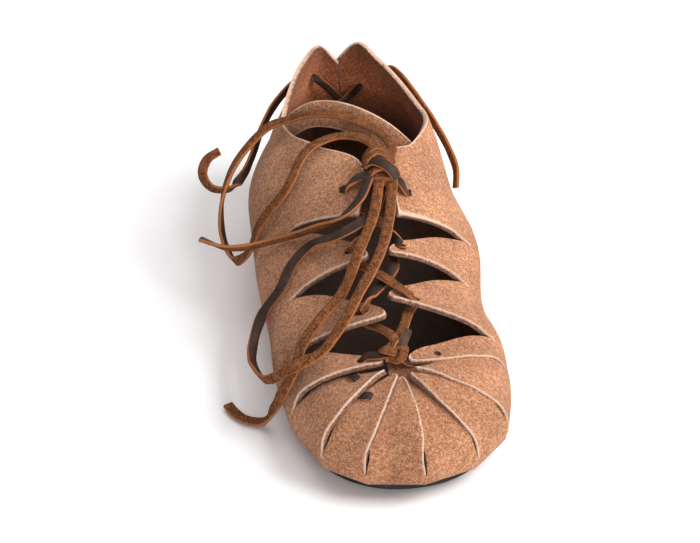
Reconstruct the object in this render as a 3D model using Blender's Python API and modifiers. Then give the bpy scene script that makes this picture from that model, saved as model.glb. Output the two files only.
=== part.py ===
"""Suede lace-up sandal in the old cut-from-one-hide manner.

One hide is cut into tabs that fold up round the foot: two ankle quarters, two straps a side and a
fan of eight toe petals.  Leather thongs draw the toe, the instep and the heel together.  A thin
rubber sole is glued below and a leather insole lies inside.

Lengths are in millimetres and MM turns them into metres.  +X is to the viewer's right when the toe
points at the viewer, +Y runs from the toe to the heel, +Z is up, and the sole stands on Z = 0.  The
shape is drawn about the sole's own middle, and a parent empty then moves it so that the origin is in
the middle of the finished shoe, seen from above.
"""

import math

import bmesh
import bpy
import numpy as np
from mathutils import Matrix, Vector

MM = 0.001

# Driving dimensions
LENGTH = 250.0
BALL_WIDTH = 95.0
HEEL_WIDTH = 68.0
HEEL_HEIGHT = 80.0
INSTEP_HEIGHT = 74.0
WALL = 2.4
CLEAR = 0.3

OUTSOLE_THICK = 4.0
OUTSOLE_INSET = 6.0
INSOLE_THICK = 2.0
INSOLE_INSET = 6.6
TOE_SPRING = 3.0
SPRING_START_Y = -55.0
SOLE_STATIONS = 40

# The middle of the finished shoe without its free string, seen from above
SHOE_MIDDLE = (-0.98, 2.66)

TOE_Y = -LENGTH / 2 + 1.0
HEEL_Y = LENGTH / 2 + 1.0
BALL_HALF = BALL_WIDTH / 2
HEEL_HALF = HEEL_WIDTH / 2
BALL_Y = -75.0

# The fold line seen from above, from the back of the heel to the tip of the toe, as half widths to
# both sides of a centre line that bends a little to the right at the ball.  Columns: half width, y,
# centre line's x.
OUTLINE = (
    (0.0, HEEL_Y, 0.0),
    (0.51 * HEEL_HALF, HEEL_Y - 4.4, 0.0),
    (0.86 * HEEL_HALF, HEEL_Y - 16.0, 0.0),
    (HEEL_HALF, HEEL_Y - 34.0, 0.0),
    (38.5, 55.0, -0.5),
    (43.0, 15.0, -0.8),
    (45.5, -30.0, 0.0),
    (BALL_HALF, BALL_Y, 1.2),
    (0.89 * BALL_HALF, -98.9, 1.2),
    (0.585 * BALL_HALF, -115.5, 1.0),
    (0.298 * BALL_HALF, -122.2, 0.6),
    (0.0, TOE_Y, 0.5),
)

# One row for each cut that starts at the hide's edge, from the back of the heel along the left side
# to the toe and back along the right side.  A cut's foot lies inset from the fold line at the height
# z, where the wall leans inwards, and below it the wall flares out from the fold.  The tab before a
# cut ends at the first tip and the tab after it starts at the second, where the leather rises by so
# many degrees.  over is +1 where the tab before lies on top and -1 where the tab after does, and step
# is half of the height between the two.
CUT_COLUMNS = (
    "name", "side", "y", "z", "inset", "lean", "flare", "tip_before", "tip_after", "rise", "over", "step",
)
CUTS = (
    ("heel_seam", -1, HEEL_Y, 24, -2.0, 0, 8, (0.5, 125.0, 72.0), (-1.0, 125.0, 72.0), 85, 1, 1.5),
    ("left_quarter", -1, 8, 45, 3.0, 50, 58, (-7, -8, 65.5), (-10, -21, 62), 20, 1, 1.8),
    ("left_strap", -1, -27, 36, 4.0, 52, 44, (-8.5, -33, 59), (-5, -54, 52), 20, 1, 1.6),
    ("left_vamp", -1, -61, 30, 2.5, 48, 28, (-4.5, -64, 49.5), (-9, -78, 43), 18, 1, 1.6),
    ("petal_1", -1, -82, 18, 0.5, 14, 8, (-8.5, -82.5, 40.5), (-9, -84, 39.5), 6, 1, 1.5),
    ("petal_2", -1, -107.5, 15, 0, 6, 0, (-7.5, -87.5, 39.5), (-7, -88.5, 39), 4, 1, 1.5),
    ("petal_3", -1, -120, 15, 0, 6, 0, (-2.0, -91.5, 39), (-1.5, -92, 38.5), 4, 1, 1.5),
    ("petal_4", 1, -123.8, 15, 0, 6, 0, (2.0, -91.5, 38.5), (-4.0, -81.0, 35.5), 4, 1, 1.7),
    ("petal_5", 1, -116.3, 15, 0, 6, 0, (5.0, -81.0, 35.5), (4.0, -90.4, 39), 4, -1, 1.7),
    ("petal_6", 1, -100, 16, -0.8, 6, 0, (7.0, -87.0, 39.4), (7.0, -86.2, 39.8), 4, -1, 1.5),
    ("petal_7", 1, -73, 22, 0, 16, 10, (7.4, -84.2, 40.2), (6.6, -83.2, 40.6), 6, -1, 1.5),
    ("right_vamp", 1, -60, 32, 4.5, 44, 14, (8.5, -75, 43.5), (4.5, -53, 51), 18, -1, 1.6),
    ("right_strap", 1, -24, 36, 6.0, 52, 14, (3, -44.5, 53.5), (6, -29, 58.5), 20, -1, 1.6),
    ("right_quarter", 1, 0, 41, -1.0, 50, 18, (7.5, -21, 61.5), (9, -10, 65.5), 24, -1, 1.8),
)

# How the wall swells between the heel seam and the quarters' cuts, as a cut's foot does
GUIDE_COLUMNS = ("side", "y", "z", "inset", "lean", "flare")
GUIDES = (
    (-1, 95, 34, -7.0, 4, 18),
    (-1, 55, 42, -11.5, 18, 34),
    (1, 95, 34, -5.0, 4, 12),
    (1, 50, 42, -5.0, 14, 16),
)

# The top edge of each ankle quarter, from the heel seam to the corner that the knot pulls.  Columns:
# share of the tab's width, x, y, z, rise in degrees.
RIM_LEFT = (
    (0.00, -1.0, 125.0, 72.0, 85),
    (0.06, -8.5, 125.5, HEEL_HEIGHT, 85),
    (0.17, -19.0, 115.0, 77.0, 82),
    (0.40, -32.0, 82.0, 67.0, 70),
    (0.60, -29.5, 64.0, 67.0, 50),
    (0.78, -19.0, 45.0, 71.0, 26),
    (0.92, -1.5, 17.0, INSTEP_HEIGHT, 14),
    (1.00, -7.0, -8.0, 65.5, 20),
)
RIM_RIGHT = (
    (0.00, 0.5, 125.0, 72.0, 85),
    (0.06, 8.0, 125.5, HEEL_HEIGHT, 85),
    (0.17, 18.0, 114.0, 77.0, 82),
    (0.40, 32.0, 84.0, 70.0, 74),
    (0.62, 34.0, 62.0, 71.0, 58),
    (0.80, 23.0, 40.0, 72.0, 28),
    (0.92, 11.5, 24.0, INSTEP_HEIGHT, 14),
    (1.00, 9.0, -10.0, 65.5, 22),
)

RIMS = {"heel_seam": RIM_LEFT, "right_quarter": RIM_RIGHT}

STRAP_FACES = 5
TAB_ROWS = 7
FOLD_RADIUS = 5.0
FOLD_TURNS = (0, 30, 60, 90)
WALL_STEPS = (0.25, 0.5, 0.75, 1.0)
WALL_PULL = 1.3
TAB_PULL = 0.38
MARGIN = 13.0
FACETED = 0.7
CUT_GAP = 1.1
CUT_GAP_RAMP = 0.15
STEP_REACH = 20.0
STEP_RAMP = 0.3
STEP_FALL = 1.5
TIP_ROUND = 3.5
TIP_ROUND_SHARE = 0.45

# Holes for the lace and the thongs, each on the tab after a cut.  Columns: name, cut, share of the
# tab's width, share of its height.
HOLES = (
    ("left_1", "heel_seam", 0.95, 0.80),
    ("right_1", "right_quarter", 0.035, 0.86),
    ("left_2", "left_quarter", 0.42, 0.80),
    ("right_2", "right_strap", 0.70, 0.84),
    ("left_3", "left_strap", 0.45, 0.74),
    ("right_3", "right_vamp", 0.35, 0.74),
    ("left_4", "left_vamp", 0.50, 0.80),
    ("right_4", "petal_7", 0.425, 0.75),
    ("heel_left_high", "heel_seam", 0.11, 0.73),
    ("heel_left_low", "heel_seam", 0.06, 0.36),
    ("heel_right_high", "right_quarter", 0.92, 0.56),
    ("heel_right_low", "right_quarter", 0.95, 0.30),
)
HOLE_RADIUS = 2.2
HOLE_SIDES = 8
HOLE_DEPTH = 12.0

# The ankle band, by the middle line of its width from the left quarter to the right one.  Columns: x,
# y, z, tilt in degrees.
BAND_WIDTH = 13.0
BAND = (
    (-34.5, 74.0, 59.0, 60),
    (-29.0, 73.0, 67.0, 62),
    (-20.0, 70.0, 74.0, 62),
    (-9.0, 63.5, 77.0, 62),
    (3.0, 55.5, 76.0, 62),
    (14.0, 49.0, 71.5, 62),
    (23.0, 44.0, 64.5, 60),
    (30.0, 41.0, 57.0, 58),
)

# The lace and the thongs are one leather string, here round with the section of the flat one
THONG_RADIUS = 1.5
LACE_UNDER = 4.0
HEEL_INSIDE = 4.2
TIE_OVER = 3.3
KNOT_CENTRE = (6.0, 10.0, 78.0)
KNOT_RADII = (8.0, 6.4, 4.9)
KNOT_SIDES = {"left": (-2.6, 9.8, 77.6), "right": (13.9, 7.6, 77.4)}
KNOT_SEGMENTS = 12
KNOT_RINGS = 8
TOE_KNOT_CENTRE = (-1.6, -80.0, 44.6)
TOE_KNOT_RADII = (4.8, 4.8, 3.8)
TOE_THONG = (
    (-12.5, -80.2, 44.4), (-6.5, -80.4, 44.9), (-1.6, -80.0, 45.0), (4.5, -79.4, 45.5),
    (9.0, -78.8, 45.0), (13.0, -78.2, 44.2),
)

# Each crossing's two bars, which start so far over one hole and end under the next hole of the other
# side.  Columns: name, height over the first hole, the two bars' holes.
CROSSINGS = (
    ("lace_cross_1", 6.0, ("left_2", "right_1"), ("right_2", "left_1")),
    ("lace_cross_2", 5.8, ("left_3", "right_2"), ("right_3", "left_2")),
    ("lace_cross_3", 4.3, ("left_4", "right_3"), ("right_4", "left_3")),
)

# Routes of the free stretches of string, chosen along the shoe and over the floor.  Columns: x, y, z.
ROUTE_STEP = 13.8
ROUTES = {
    "lace_loop_upper": (
        (10.0, 16.2, 79.6), (13.0, 32.0, 78.0), (6.8, 48.0, 77.6), (-3.6, 55.0, 80.0),
        (-22.5, 65.5, 77.0), (-31.0, 69.5, 72.5), (-38.5, 71.0, 69.5), (-50.5, 66.0, 62.0),
        (-61.5, 55.0, 52.0), (-66.7, 42.0, 40.0), (-66.0, 31.0, 29.5), (-62.0, 23.5, 25.0),
        (-57.0, 19.5, 30.5), (-49.4, 22.6, 46.0), (-37.4, 25.3, 61.0), (-23.0, 41.0, 74.4),
        (-10.0, 43.5, 77.5), (-2.0, 39.5, 79.0), (3.5, 31.5, 80.0), (4.6, 16.5, 80.4),
    ),
    "lace_end_upper": (
        (-1.1, 5.8, 78.5), (-6.5, -4.5, 74.0), (-14.0, -8.5, 68.5), (-27.5, -3.5, 59.0),
        (-47.3, 6.5, 46.4), (-56.0, 8.0, 43.5), (-66.0, 9.5, 42.5), (-78.0, 15.5, 44.5),
    ),
    "lace_loop_lower": (
        (9.4, 3.7, 77.4), (5.0, -16.0, 69.0), (-3.0, -37.0, 64.0), (-12.6, -51.5, 58.0),
        (-23.1, -65.5, 50.0), (-32.0, -72.0, 42.5), (-44.5, -74.5, 37.5), (-55.5, -66.0, 25.0),
        (-58.5, -54.0, 20.0), (-60.0, -44.0, 18.5), (-58.7, -34.0, 19.5), (-53.6, -23.6, 27.0),
        (-44.8, -22.0, 40.2), (-37.2, -13.5, 49.0), (-31.0, -11.5, 54.5), (-18.0, -18.0, 64.5),
        (-8.0, -15.5, 68.4), (0.0, -6.5, 68.2), (4.4, 3.6, 72.6),
    ),
    "lace_end_lower": (
        (3.4, 3.3, 77.8), (-1.5, -13.0, 71.0), (-10.2, -30.5, 64.6), (-20.0, -46.5, 53.5),
        (-31.2, -57.0, 48.2), (-39.6, -63.8, 40.0), (-43.2, -70.8, 34.2), (-48.6, -76.0, 27.0),
        (-53.0, -72.0, 13.5), (-58.5, -67.5, 2.4), (-66.0, -63.5, 1.8), (-70.0, -58.0, 1.8),
        (-72.0, -53.5, 1.9),
    ),
    "heel_thong_left": (
        (-16.3, 125.5, 64.8), (-24.6, 119.6, 62.0), (-34.5, 109.5, 57.0), (-42.5, 96.0, 51.0),
        (-48.5, 82.0, 45.0), (-54.0, 71.0, 41.5), (-61.5, 63.5, 39.0), (-69.5, 64.0, 40.0),
        (-73.5, 71.0, 44.0), (-70.5, 77.0, 48.5), (-64.5, 78.0, 52.0),
    ),
    "heel_thong_right": (
        (12.9, 128.7, 55.8), (20.0, 126.0, 61.5), (26.0, 117.0, 68.5), (29.0, 106.0, 70.5),
        (35.0, 93.0, 66.0), (42.0, 80.0, 58.0), (47.5, 68.0, 49.5), (49.5, 59.0, 43.5),
        (48.5, 53.0, 37.5),
    ),
}


def hermite(knots, values, at):
    """A smooth curve through rows of values at rising knots, read at the places in at."""
    knots, values, at = (np.asarray(a, float) for a in (knots, values, at))
    slope = np.gradient(values, knots, axis=0)
    span = np.clip(np.searchsorted(knots, at, side="right") - 1, 0, len(knots) - 2)
    width = knots[span + 1] - knots[span]
    t = (at - knots[span]) / width
    shape = (-1,) + (1,) * (values.ndim - 1)
    t, width = t.reshape(shape), width.reshape(shape)
    return (
        (2 * t**3 - 3 * t**2 + 1) * values[span]
        + (t**3 - 2 * t**2 + t) * width * slope[span]
        + (3 * t**2 - 2 * t**3) * values[span + 1]
        + (t**3 - t**2) * width * slope[span + 1]
    )


def smoothstep(t):
    t = np.clip(t, 0.0, 1.0)
    return t * t * (3 - 2 * t)


def closed_outline(samples=720):
    """The fold line as a closed ring of points, from the heel along the left side and back."""
    half_width, y, centre = np.array(OUTLINE).T
    left, right = (np.column_stack([centre + side * half_width, y]) for side in (-1, 1))
    ring = np.concatenate([left, right[-2:0:-1]])
    ring = np.concatenate([ring[-3:], ring, ring[:4]])
    along = np.concatenate([[0], np.cumsum(np.linalg.norm(np.diff(ring, axis=0), axis=1))])
    start, end = along[3], along[-4]
    return hermite(along, ring, np.linspace(start, end, samples, endpoint=False))


RING = closed_outline()
RING_STEPS = np.linalg.norm(np.diff(np.concatenate([RING, RING[:1]]), axis=0), axis=1)
RING_ALONG = np.concatenate([[0], np.cumsum(RING_STEPS)])
GIRTH = RING_ALONG[-1]


def ring_at(along, inset=0.0):
    """Points of the fold line at distances along it, moved inwards by inset."""
    closed = np.concatenate([RING, RING[:1]])
    tangent = np.gradient(np.concatenate([RING[-1:], closed, RING[1:2]]), axis=0)[1:-1]
    tangent /= np.linalg.norm(tangent, axis=1)[:, None]
    inward = np.stack([-tangent[:, 1], tangent[:, 0]], 1)
    along = np.asarray(along, float) % GIRTH
    inset = np.asarray(inset, float)

    def read(values):
        return np.stack([np.interp(along, RING_ALONG, values[:, k]) for k in (0, 1)], 1)

    return read(closed) + read(inward) * inset.reshape(-1, 1)


def place_on_ring(side, y):
    """The distance along the fold line of the point at this side and y."""
    mask = RING[:, 0] * side >= -1e-9
    index = np.where(mask)[0][np.argmin(np.abs(RING[mask, 1] - y))]
    return RING_ALONG[index]


def sole_lift(y):
    """How far the toe spring lifts the sole at y."""
    return TOE_SPRING * np.clip((SPRING_START_Y - y) / (SPRING_START_Y - TOE_Y), 0, 1) ** 2


CUT = [dict(zip(CUT_COLUMNS, row)) for row in CUTS]
CUT_ALONG = [0.0] + [place_on_ring(c["side"], c["y"]) for c in CUT[1:]] + [GIRTH]
GUIDE = [dict(zip(GUIDE_COLUMNS, row)) for row in GUIDES]


def foot_values(along, column):
    """A value of the cuts' feet and the guides, smoothly from one to the next round the ring."""
    rows = [(place, cut[column]) for place, cut in zip(CUT_ALONG, CUT)]
    rows += [(place_on_ring(guide["side"], guide["y"]), guide[column]) for guide in GUIDE]
    rows = np.array(sorted(rows), float)
    rows = np.concatenate([rows[-2:] - (GIRTH, 0), rows, rows[:2] + (GIRTH, 0)])
    return hermite(rows[:, 0], rows[:, 1], along)


def facet_inset(along):
    """How far a toe petal's flat foot lies inside the round fold line, as the fold breaks at the cuts."""
    inset = np.zeros(len(along))
    for index, cut in enumerate(CUT[:-1]):
        ends = np.array(CUT_ALONG[index : index + 2])
        if not (cut["name"].startswith("petal") and CUT[index + 1]["name"].startswith("petal")):
            continue
        start, end = ring_at(ends)
        chord = (end - start) / np.linalg.norm(end - start)
        inside = (along > ends[0]) & (along < ends[1])
        away = ring_at(along) - start
        inset += inside * FACETED * np.abs(away[:, 0] * chord[1] - away[:, 1] * chord[0])
    return inset


def tab_shares(cut_name):
    """Where a tab has its columns: a quarter at its rim's rows and halfway between them."""
    if cut_name not in RIMS:
        return np.linspace(0, 1, STRAP_FACES + 1)
    rows = np.array([row[0] for row in RIMS[cut_name]])
    shares = np.sort(np.concatenate([rows, (rows[1:] + rows[:-1]) / 2]))
    return shares if cut_name == "heel_seam" else 1 - shares[::-1]


def tip_line(index, share):
    """The far edge of a tab: points and the slope at which the leather reaches them."""
    before, after = CUT[index], CUT[(index + 1) % len(CUT)]
    rim = RIMS.get(before["name"])
    if rim:
        table = np.array(rim)
        place = share if before["name"] == "heel_seam" else 1 - share
        values = hermite(table[:, 0], table[:, 1:], place)
        return values[:, :3], values[:, 3]
    start, end = np.array(before["tip_after"], float), np.array(after["tip_before"], float)
    line = start + (end - start) * share[:, None]
    foot = ring_at([(CUT_ALONG[index] + CUT_ALONG[index + 1]) / 2])[0]
    ahead = line.mean(0)[:2] - foot
    ahead /= np.linalg.norm(ahead)
    width = np.linalg.norm(end - start)
    crown = min(TIP_ROUND, TIP_ROUND_SHARE * width) * (1 - (2 * share - 1) ** 2)
    line[:, :2] += ahead * crown[:, None]
    return line, before["rise"] + (after["rise"] - before["rise"]) * share


def wall_base(along):
    """Rows of the wall from the margin under the foot, round the fold and up to the cuts' feet."""
    plan = ring_at(along)
    facet = facet_inset(along)
    foot_z, inset, lean, flare = (foot_values(along, c) for c in ("z", "inset", "lean", "flare"))

    def on_sole(turned_in, above):
        at = ring_at(along, turned_in)
        return np.column_stack([at, OUTSOLE_THICK + CLEAR + WALL / 2 + sole_lift(at[:, 1]) + above])

    rows = [on_sole(MARGIN, 0.0)]
    for turn in np.radians(FOLD_TURNS):
        rows.append(on_sole(facet + FOLD_RADIUS * (1 - math.sin(turn)), FOLD_RADIUS * (1 - math.cos(turn))))
    low, high = rows[-1], np.column_stack([ring_at(along, inset + facet), foot_z])
    out = ring_at(along, -1.0) - plan

    def heading(degrees):
        angle = np.radians(degrees)[:, None]
        return np.column_stack([out * np.sin(angle), np.cos(angle)])

    leave, arrive = heading(flare), heading(-lean)
    reach = WALL_PULL * (high - low)[:, 2:3]
    for t in WALL_STEPS:
        rows.append(
            (2 * t**3 - 3 * t**2 + 1) * low
            + (t**3 - 2 * t**2 + t) * reach * leave
            + (3 * t**2 - 2 * t**3) * high
            + (t**3 - t**2) * reach * arrive
        )
    return np.array(rows), arrive


def tab_rows(index, share, rows=TAB_ROWS):
    """The rows of one tab, below the cuts' feet and above them, without the offsets at its edges."""
    along = CUT_ALONG[index] + (CUT_ALONG[index + 1] - CUT_ALONG[index]) * share
    base, heading = wall_base(along)
    foot = base[-1]
    tip, rise = tip_line(index, share)
    run = tip - foot
    level = np.linalg.norm(run[:, :2], axis=1)
    ahead = run[:, :2] / np.maximum(level, 1e-6)[:, None]
    rise = np.radians(rise)
    arrive = np.column_stack([ahead * np.cos(rise)[:, None], np.sin(rise)])
    pull = TAB_PULL * np.linalg.norm(run, axis=1)[:, None]
    made = []
    for t in np.linspace(0, 1, rows + 1)[1:]:
        made.append(
            (1 - t) ** 3 * foot
            + 3 * t * (1 - t) ** 2 * (foot + heading * pull)
            + 3 * t**2 * (1 - t) * (tip - arrive * pull)
            + t**3 * tip
        )
    return base, np.array(made)


def shingled(index, base, made, share):
    """One tab's rows with its edges apart from its neighbours' and stepped over or under them."""
    before, after = CUT[index], CUT[(index + 1) % len(CUT)]
    grid = np.concatenate([base[-1:], made])
    across = np.gradient(grid, axis=1)
    up = np.gradient(grid, axis=0)
    normal = np.cross(across, up)
    normal /= np.maximum(np.linalg.norm(normal, axis=2), 1e-9)[..., None]
    across /= np.maximum(np.linalg.norm(across, axis=2), 1e-9)[..., None]
    width = CUT_ALONG[index + 1] - CUT_ALONG[index]
    near_start = np.clip(1 - share * width / STEP_REACH, 0, 1) ** STEP_FALL
    near_end = np.clip(1 - (1 - share) * width / STEP_REACH, 0, 1) ** STEP_FALL
    lift = after["over"] * after["step"] * near_end - before["over"] * before["step"] * near_start
    height = np.linspace(0, 1, len(grid))
    ramp = smoothstep(height / STEP_RAMP)[:, None]
    aside = (near_start**2 - near_end**2) * CUT_GAP / 2
    opened = smoothstep(height / CUT_GAP_RAMP)[:, None]
    moved = grid + normal * (lift * ramp)[..., None] + across * (aside * opened)[..., None]
    return moved[1:]


def tab_frame(cut_name, share, height, steps=40):
    """A point of a tab's middle surface and the direction out of it.

    The tab is named by the cut before it, share runs from that cut to the next one, and height
    from the cuts' feet to the tip.
    """
    index = [cut["name"] for cut in CUT].index(cut_name)
    shares = share + np.array((-0.01, 0.0, 0.01))
    base, made = tab_rows(index, shares, steps)
    rows = np.concatenate([base[-1:], shingled(index, base, made, shares)])
    row = min(int(round(height * steps)), steps - 1)
    out = np.cross(rows[row, 2] - rows[row, 0], rows[row + 1, 1] - rows[row, 1])
    return rows[row, 1], out / np.linalg.norm(out)


HOLE = {row[0]: row[1:] for row in HOLES}


def beside_hole(name, away):
    """The point at this distance out of a hole, or into the shoe where it is negative."""
    point, out = tab_frame(*HOLE[name])
    return point + out * away


def smooth_route(points, step):
    """Points about a step apart on a smooth curve through a route's own points."""
    points = np.array(points)
    along = np.concatenate([[0], np.cumsum(np.linalg.norm(np.diff(points, axis=0), axis=1))])
    return hermite(along, points, np.linspace(0, along[-1], int(round(along[-1] / step)) + 1))


def upper_surface():
    """The hide's middle surface as points and four-sided faces, open along every cut."""
    points, faces = [], []

    def add(rows):
        first = len(points)
        points.extend(map(tuple, rows.reshape(-1, 3)))
        return first + np.arange(rows.shape[0] * rows.shape[1]).reshape(rows.shape[:2])

    for index, cut in enumerate(CUT):
        share = tab_shares(cut["name"])
        base, made = tab_rows(index, share)
        tab = add(np.concatenate([base, shingled(index, base, made, share)]))
        for row in range(tab.shape[0] - 1):
            for column in range(tab.shape[1] - 1):
                corner = tab[row : row + 2, column : column + 2]
                faces.append((corner[0, 0], corner[0, 1], corner[1, 1], corner[1, 0]))
    return points, faces


# Blender objects
SUEDE = (0.47, 0.25, 0.14)
INSOLE_LEATHER = (0.10, 0.048, 0.026)
THONG_LEATHER = (0.17, 0.08, 0.045)
BLACK_RUBBER = (0.012, 0.012, 0.013)
SUEDE_ROUGHNESS = 0.95
LEATHER_ROUGHNESS = 0.75
RUBBER_ROUGHNESS = 0.6
MERGE = 0.01


def clear_scene():
    for item in list(bpy.data.objects):
        bpy.data.objects.remove(item, do_unlink=True)


def new_collection(name):
    collection = bpy.data.collections.new(name)
    bpy.context.scene.collection.children.link(collection)
    return collection


def finish(item, colour, roughness):
    """The piece's own material."""
    material = bpy.data.materials.new(item.name + "_finish")
    material.use_nodes = True
    shader = material.node_tree.nodes["Principled BSDF"]
    shader.inputs["Base Color"].default_value = (*colour, 1.0)
    shader.inputs["Roughness"].default_value = roughness
    shader.inputs["Metallic"].default_value = 0.0
    item.data.materials.append(material)


def mesh_object(name, points, faces, collection):
    mesh = bpy.data.meshes.new(name)
    mesh.from_pydata([Vector(p) * MM for p in points], [], [tuple(map(int, f)) for f in faces])
    made = bmesh.new()
    made.from_mesh(mesh)
    bmesh.ops.remove_doubles(made, verts=made.verts, dist=MERGE * MM)
    made.to_mesh(mesh)
    made.free()
    item = bpy.data.objects.new(name, mesh)
    collection.objects.link(item)
    return item


def solidify(item, thickness, offset):
    modifier = item.modifiers.new("wall", "SOLIDIFY")
    modifier.thickness = thickness * MM
    modifier.offset = offset
    return modifier


def as_cutter(item):
    item.hide_render = True
    item.display_type = "WIRE"


def boolean(item, operand, operation):
    modifier = item.modifiers.new(operand.name, "BOOLEAN")
    modifier.object = operand
    modifier.operation = operation
    modifier.solver = "EXACT"


def make_sole_sheet(name, inset, bottom, thickness, collection):
    """A sheet with the fold line's outline less inset, bent up by the toe spring."""
    along = np.linspace(0, GIRTH / 2, SOLE_STATIONS)
    left, right = ring_at(along, inset), ring_at(GIRTH - along, inset)
    points = [(*left[0], bottom)]
    for one, other in zip(left[1:-1], right[1:-1]):
        points += [(*one, bottom + sole_lift(one[1])), (*other, bottom + sole_lift(other[1]))]
    points.append((*left[-1], bottom + sole_lift(left[-1, 1])))
    last = len(points) - 1
    faces = [(0, 1, 2)]
    faces += [(k, k + 2, k + 3, k + 1) for k in range(1, last - 2, 2)]
    faces.append((last, last - 1, last - 2))
    sheet = mesh_object(name, points, faces, collection)
    solidify(sheet, thickness, 1.0)
    return sheet


def make_band(collection):
    """The strap over the ankle, a strip that is joined to the quarters' walls."""
    table = np.array(BAND)
    middle, tilt = table[:, :3], np.radians(table[:, 3])
    run = np.gradient(middle, axis=0)
    level = np.column_stack([-run[:, 1], run[:, 0], np.zeros(len(run))])
    level /= np.linalg.norm(level, axis=1)[:, None]
    side = level * np.cos(tilt)[:, None] + np.array((0, 0, 1.0)) * np.sin(tilt)[:, None]
    points = np.concatenate([middle + side * BAND_WIDTH * share for share in (-0.5, 0.0, 0.5)])
    count = len(middle)
    faces = [
        (row * count + k, row * count + k + 1, (row + 1) * count + k + 1, (row + 1) * count + k)
        for row in (0, 1)
        for k in range(count - 1)
    ]
    band = mesh_object("ankle_band", points, faces, collection)
    solidify(band, WALL, 0.0)
    as_cutter(band)
    return band


def make_hole_cutters(collection):
    mesh = bpy.data.meshes.new("lace_holes")
    made = bmesh.new()
    for _, cut, share, height in HOLES:
        point, out = tab_frame(cut, share, height)
        turn = Vector(out).to_track_quat("Z", "Y").to_matrix().to_4x4()
        bmesh.ops.create_cone(
            made,
            cap_ends=True,
            segments=HOLE_SIDES,
            radius1=HOLE_RADIUS * MM,
            radius2=HOLE_RADIUS * MM,
            depth=HOLE_DEPTH * MM,
            matrix=Matrix.Translation(Vector(point) * MM) @ turn,
        )
    made.to_mesh(mesh)
    made.free()
    cutters = bpy.data.objects.new("lace_holes", mesh)
    collection.objects.link(cutters)
    as_cutter(cutters)
    return cutters


def make_upper(parts, cutters):
    upper = mesh_object("upper", *upper_surface(), parts)
    solidify(upper, WALL, 0.0)
    boolean(upper, make_band(cutters), "UNION")
    boolean(upper, make_hole_cutters(cutters), "DIFFERENCE")
    finish(upper, SUEDE, SUEDE_ROUGHNESS)
    return upper


def make_string(name, points, collection):
    """A round string along points, as a curve."""
    data = bpy.data.curves.new(name, "CURVE")
    data.dimensions = "3D"
    data.bevel_depth = THONG_RADIUS * MM
    data.bevel_resolution = 2
    data.use_fill_caps = True
    spline = data.splines.new("POLY")
    spline.points.add(len(points) - 1)
    for target, point in zip(spline.points, points):
        target.co = (*(Vector(point) * MM), 1.0)
    item = bpy.data.objects.new(name, data)
    collection.objects.link(item)
    return item


def string_to_mesh(curve, collection):
    """The same string as a closed mesh, which can be joined to others."""
    evaluated = curve.evaluated_get(bpy.context.evaluated_depsgraph_get())
    mesh = bpy.data.meshes.new_from_object(evaluated)
    made = bmesh.new()
    made.from_mesh(mesh)
    bmesh.ops.remove_doubles(made, verts=made.verts, dist=MERGE * MM)
    made.to_mesh(mesh)
    made.free()
    name = curve.name
    item = bpy.data.objects.new(name, mesh)
    item.matrix_world = curve.matrix_world
    bpy.data.objects.remove(curve, do_unlink=True)
    item.name = name
    collection.objects.link(item)
    return item


def make_joined_strings(name, routes, parts, cutters):
    """Strings that meet, joined into one solid."""
    whole = string_to_mesh(make_string(name, routes[0], parts), parts)
    for number, route in enumerate(routes[1:], 2):
        other = string_to_mesh(make_string(f"{name}_string_{number}", route, cutters), cutters)
        as_cutter(other)
        boolean(whole, other, "UNION")
    finish(whole, THONG_LEATHER, LEATHER_ROUGHNESS)
    return whole


def make_knot(name, centre, radii, collection):
    """A knot's outer form."""
    bpy.ops.mesh.primitive_uv_sphere_add(
        segments=KNOT_SEGMENTS, ring_count=KNOT_RINGS, radius=MM, location=Vector(centre) * MM
    )
    knot = bpy.context.object
    knot.name = name
    knot.scale = radii
    bpy.ops.object.transform_apply(location=False, rotation=False, scale=True)
    knot.data.shade_smooth()
    for owner in list(knot.users_collection):
        owner.objects.unlink(knot)
    collection.objects.link(knot)
    return knot


def make_lace(parts, cutters):
    for name, over, *bars in CROSSINGS:
        routes = [(beside_hole(start, over), beside_hole(end, -LACE_UNDER)) for start, end in bars]
        make_joined_strings(name, routes, parts, cutters)
    finish(make_knot("lace_knot", KNOT_CENTRE, KNOT_RADII, parts), THONG_LEATHER, LEATHER_ROUGHNESS)
    for side, end in KNOT_SIDES.items():
        make_joined_strings("lace_tie_" + side, [(beside_hole(side + "_1", TIE_OVER), end)], parts, cutters)
    toe_thong = make_joined_strings("toe_thong", [TOE_THONG], parts, cutters)
    toe_knot = make_knot("toe_knot", TOE_KNOT_CENTRE, TOE_KNOT_RADII, cutters)
    as_cutter(toe_knot)
    boolean(toe_thong, toe_knot, "UNION")
    heel = [
        (beside_hole("heel_left_high", -HEEL_INSIDE), beside_hole("heel_right_low", -HEEL_INSIDE)),
        (beside_hole("heel_left_low", -HEEL_INSIDE), beside_hole("heel_right_high", -HEEL_INSIDE)),
    ]
    make_joined_strings("heel_thong_cross", heel, parts, cutters)
    for name, route in ROUTES.items():
        finish(make_string(name, smooth_route(route, ROUTE_STEP), parts), THONG_LEATHER, LEATHER_ROUGHNESS)


def place_about_origin(*collections):
    """Hang every piece and cutter on an empty that brings the shoe's middle to the origin."""
    origin = bpy.data.objects.new("shoe_middle", None)
    origin.location = (-SHOE_MIDDLE[0] * MM, -SHOE_MIDDLE[1] * MM, 0.0)
    bpy.context.scene.collection.objects.link(origin)
    for collection in collections:
        for item in collection.objects:
            item.parent = origin


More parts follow.
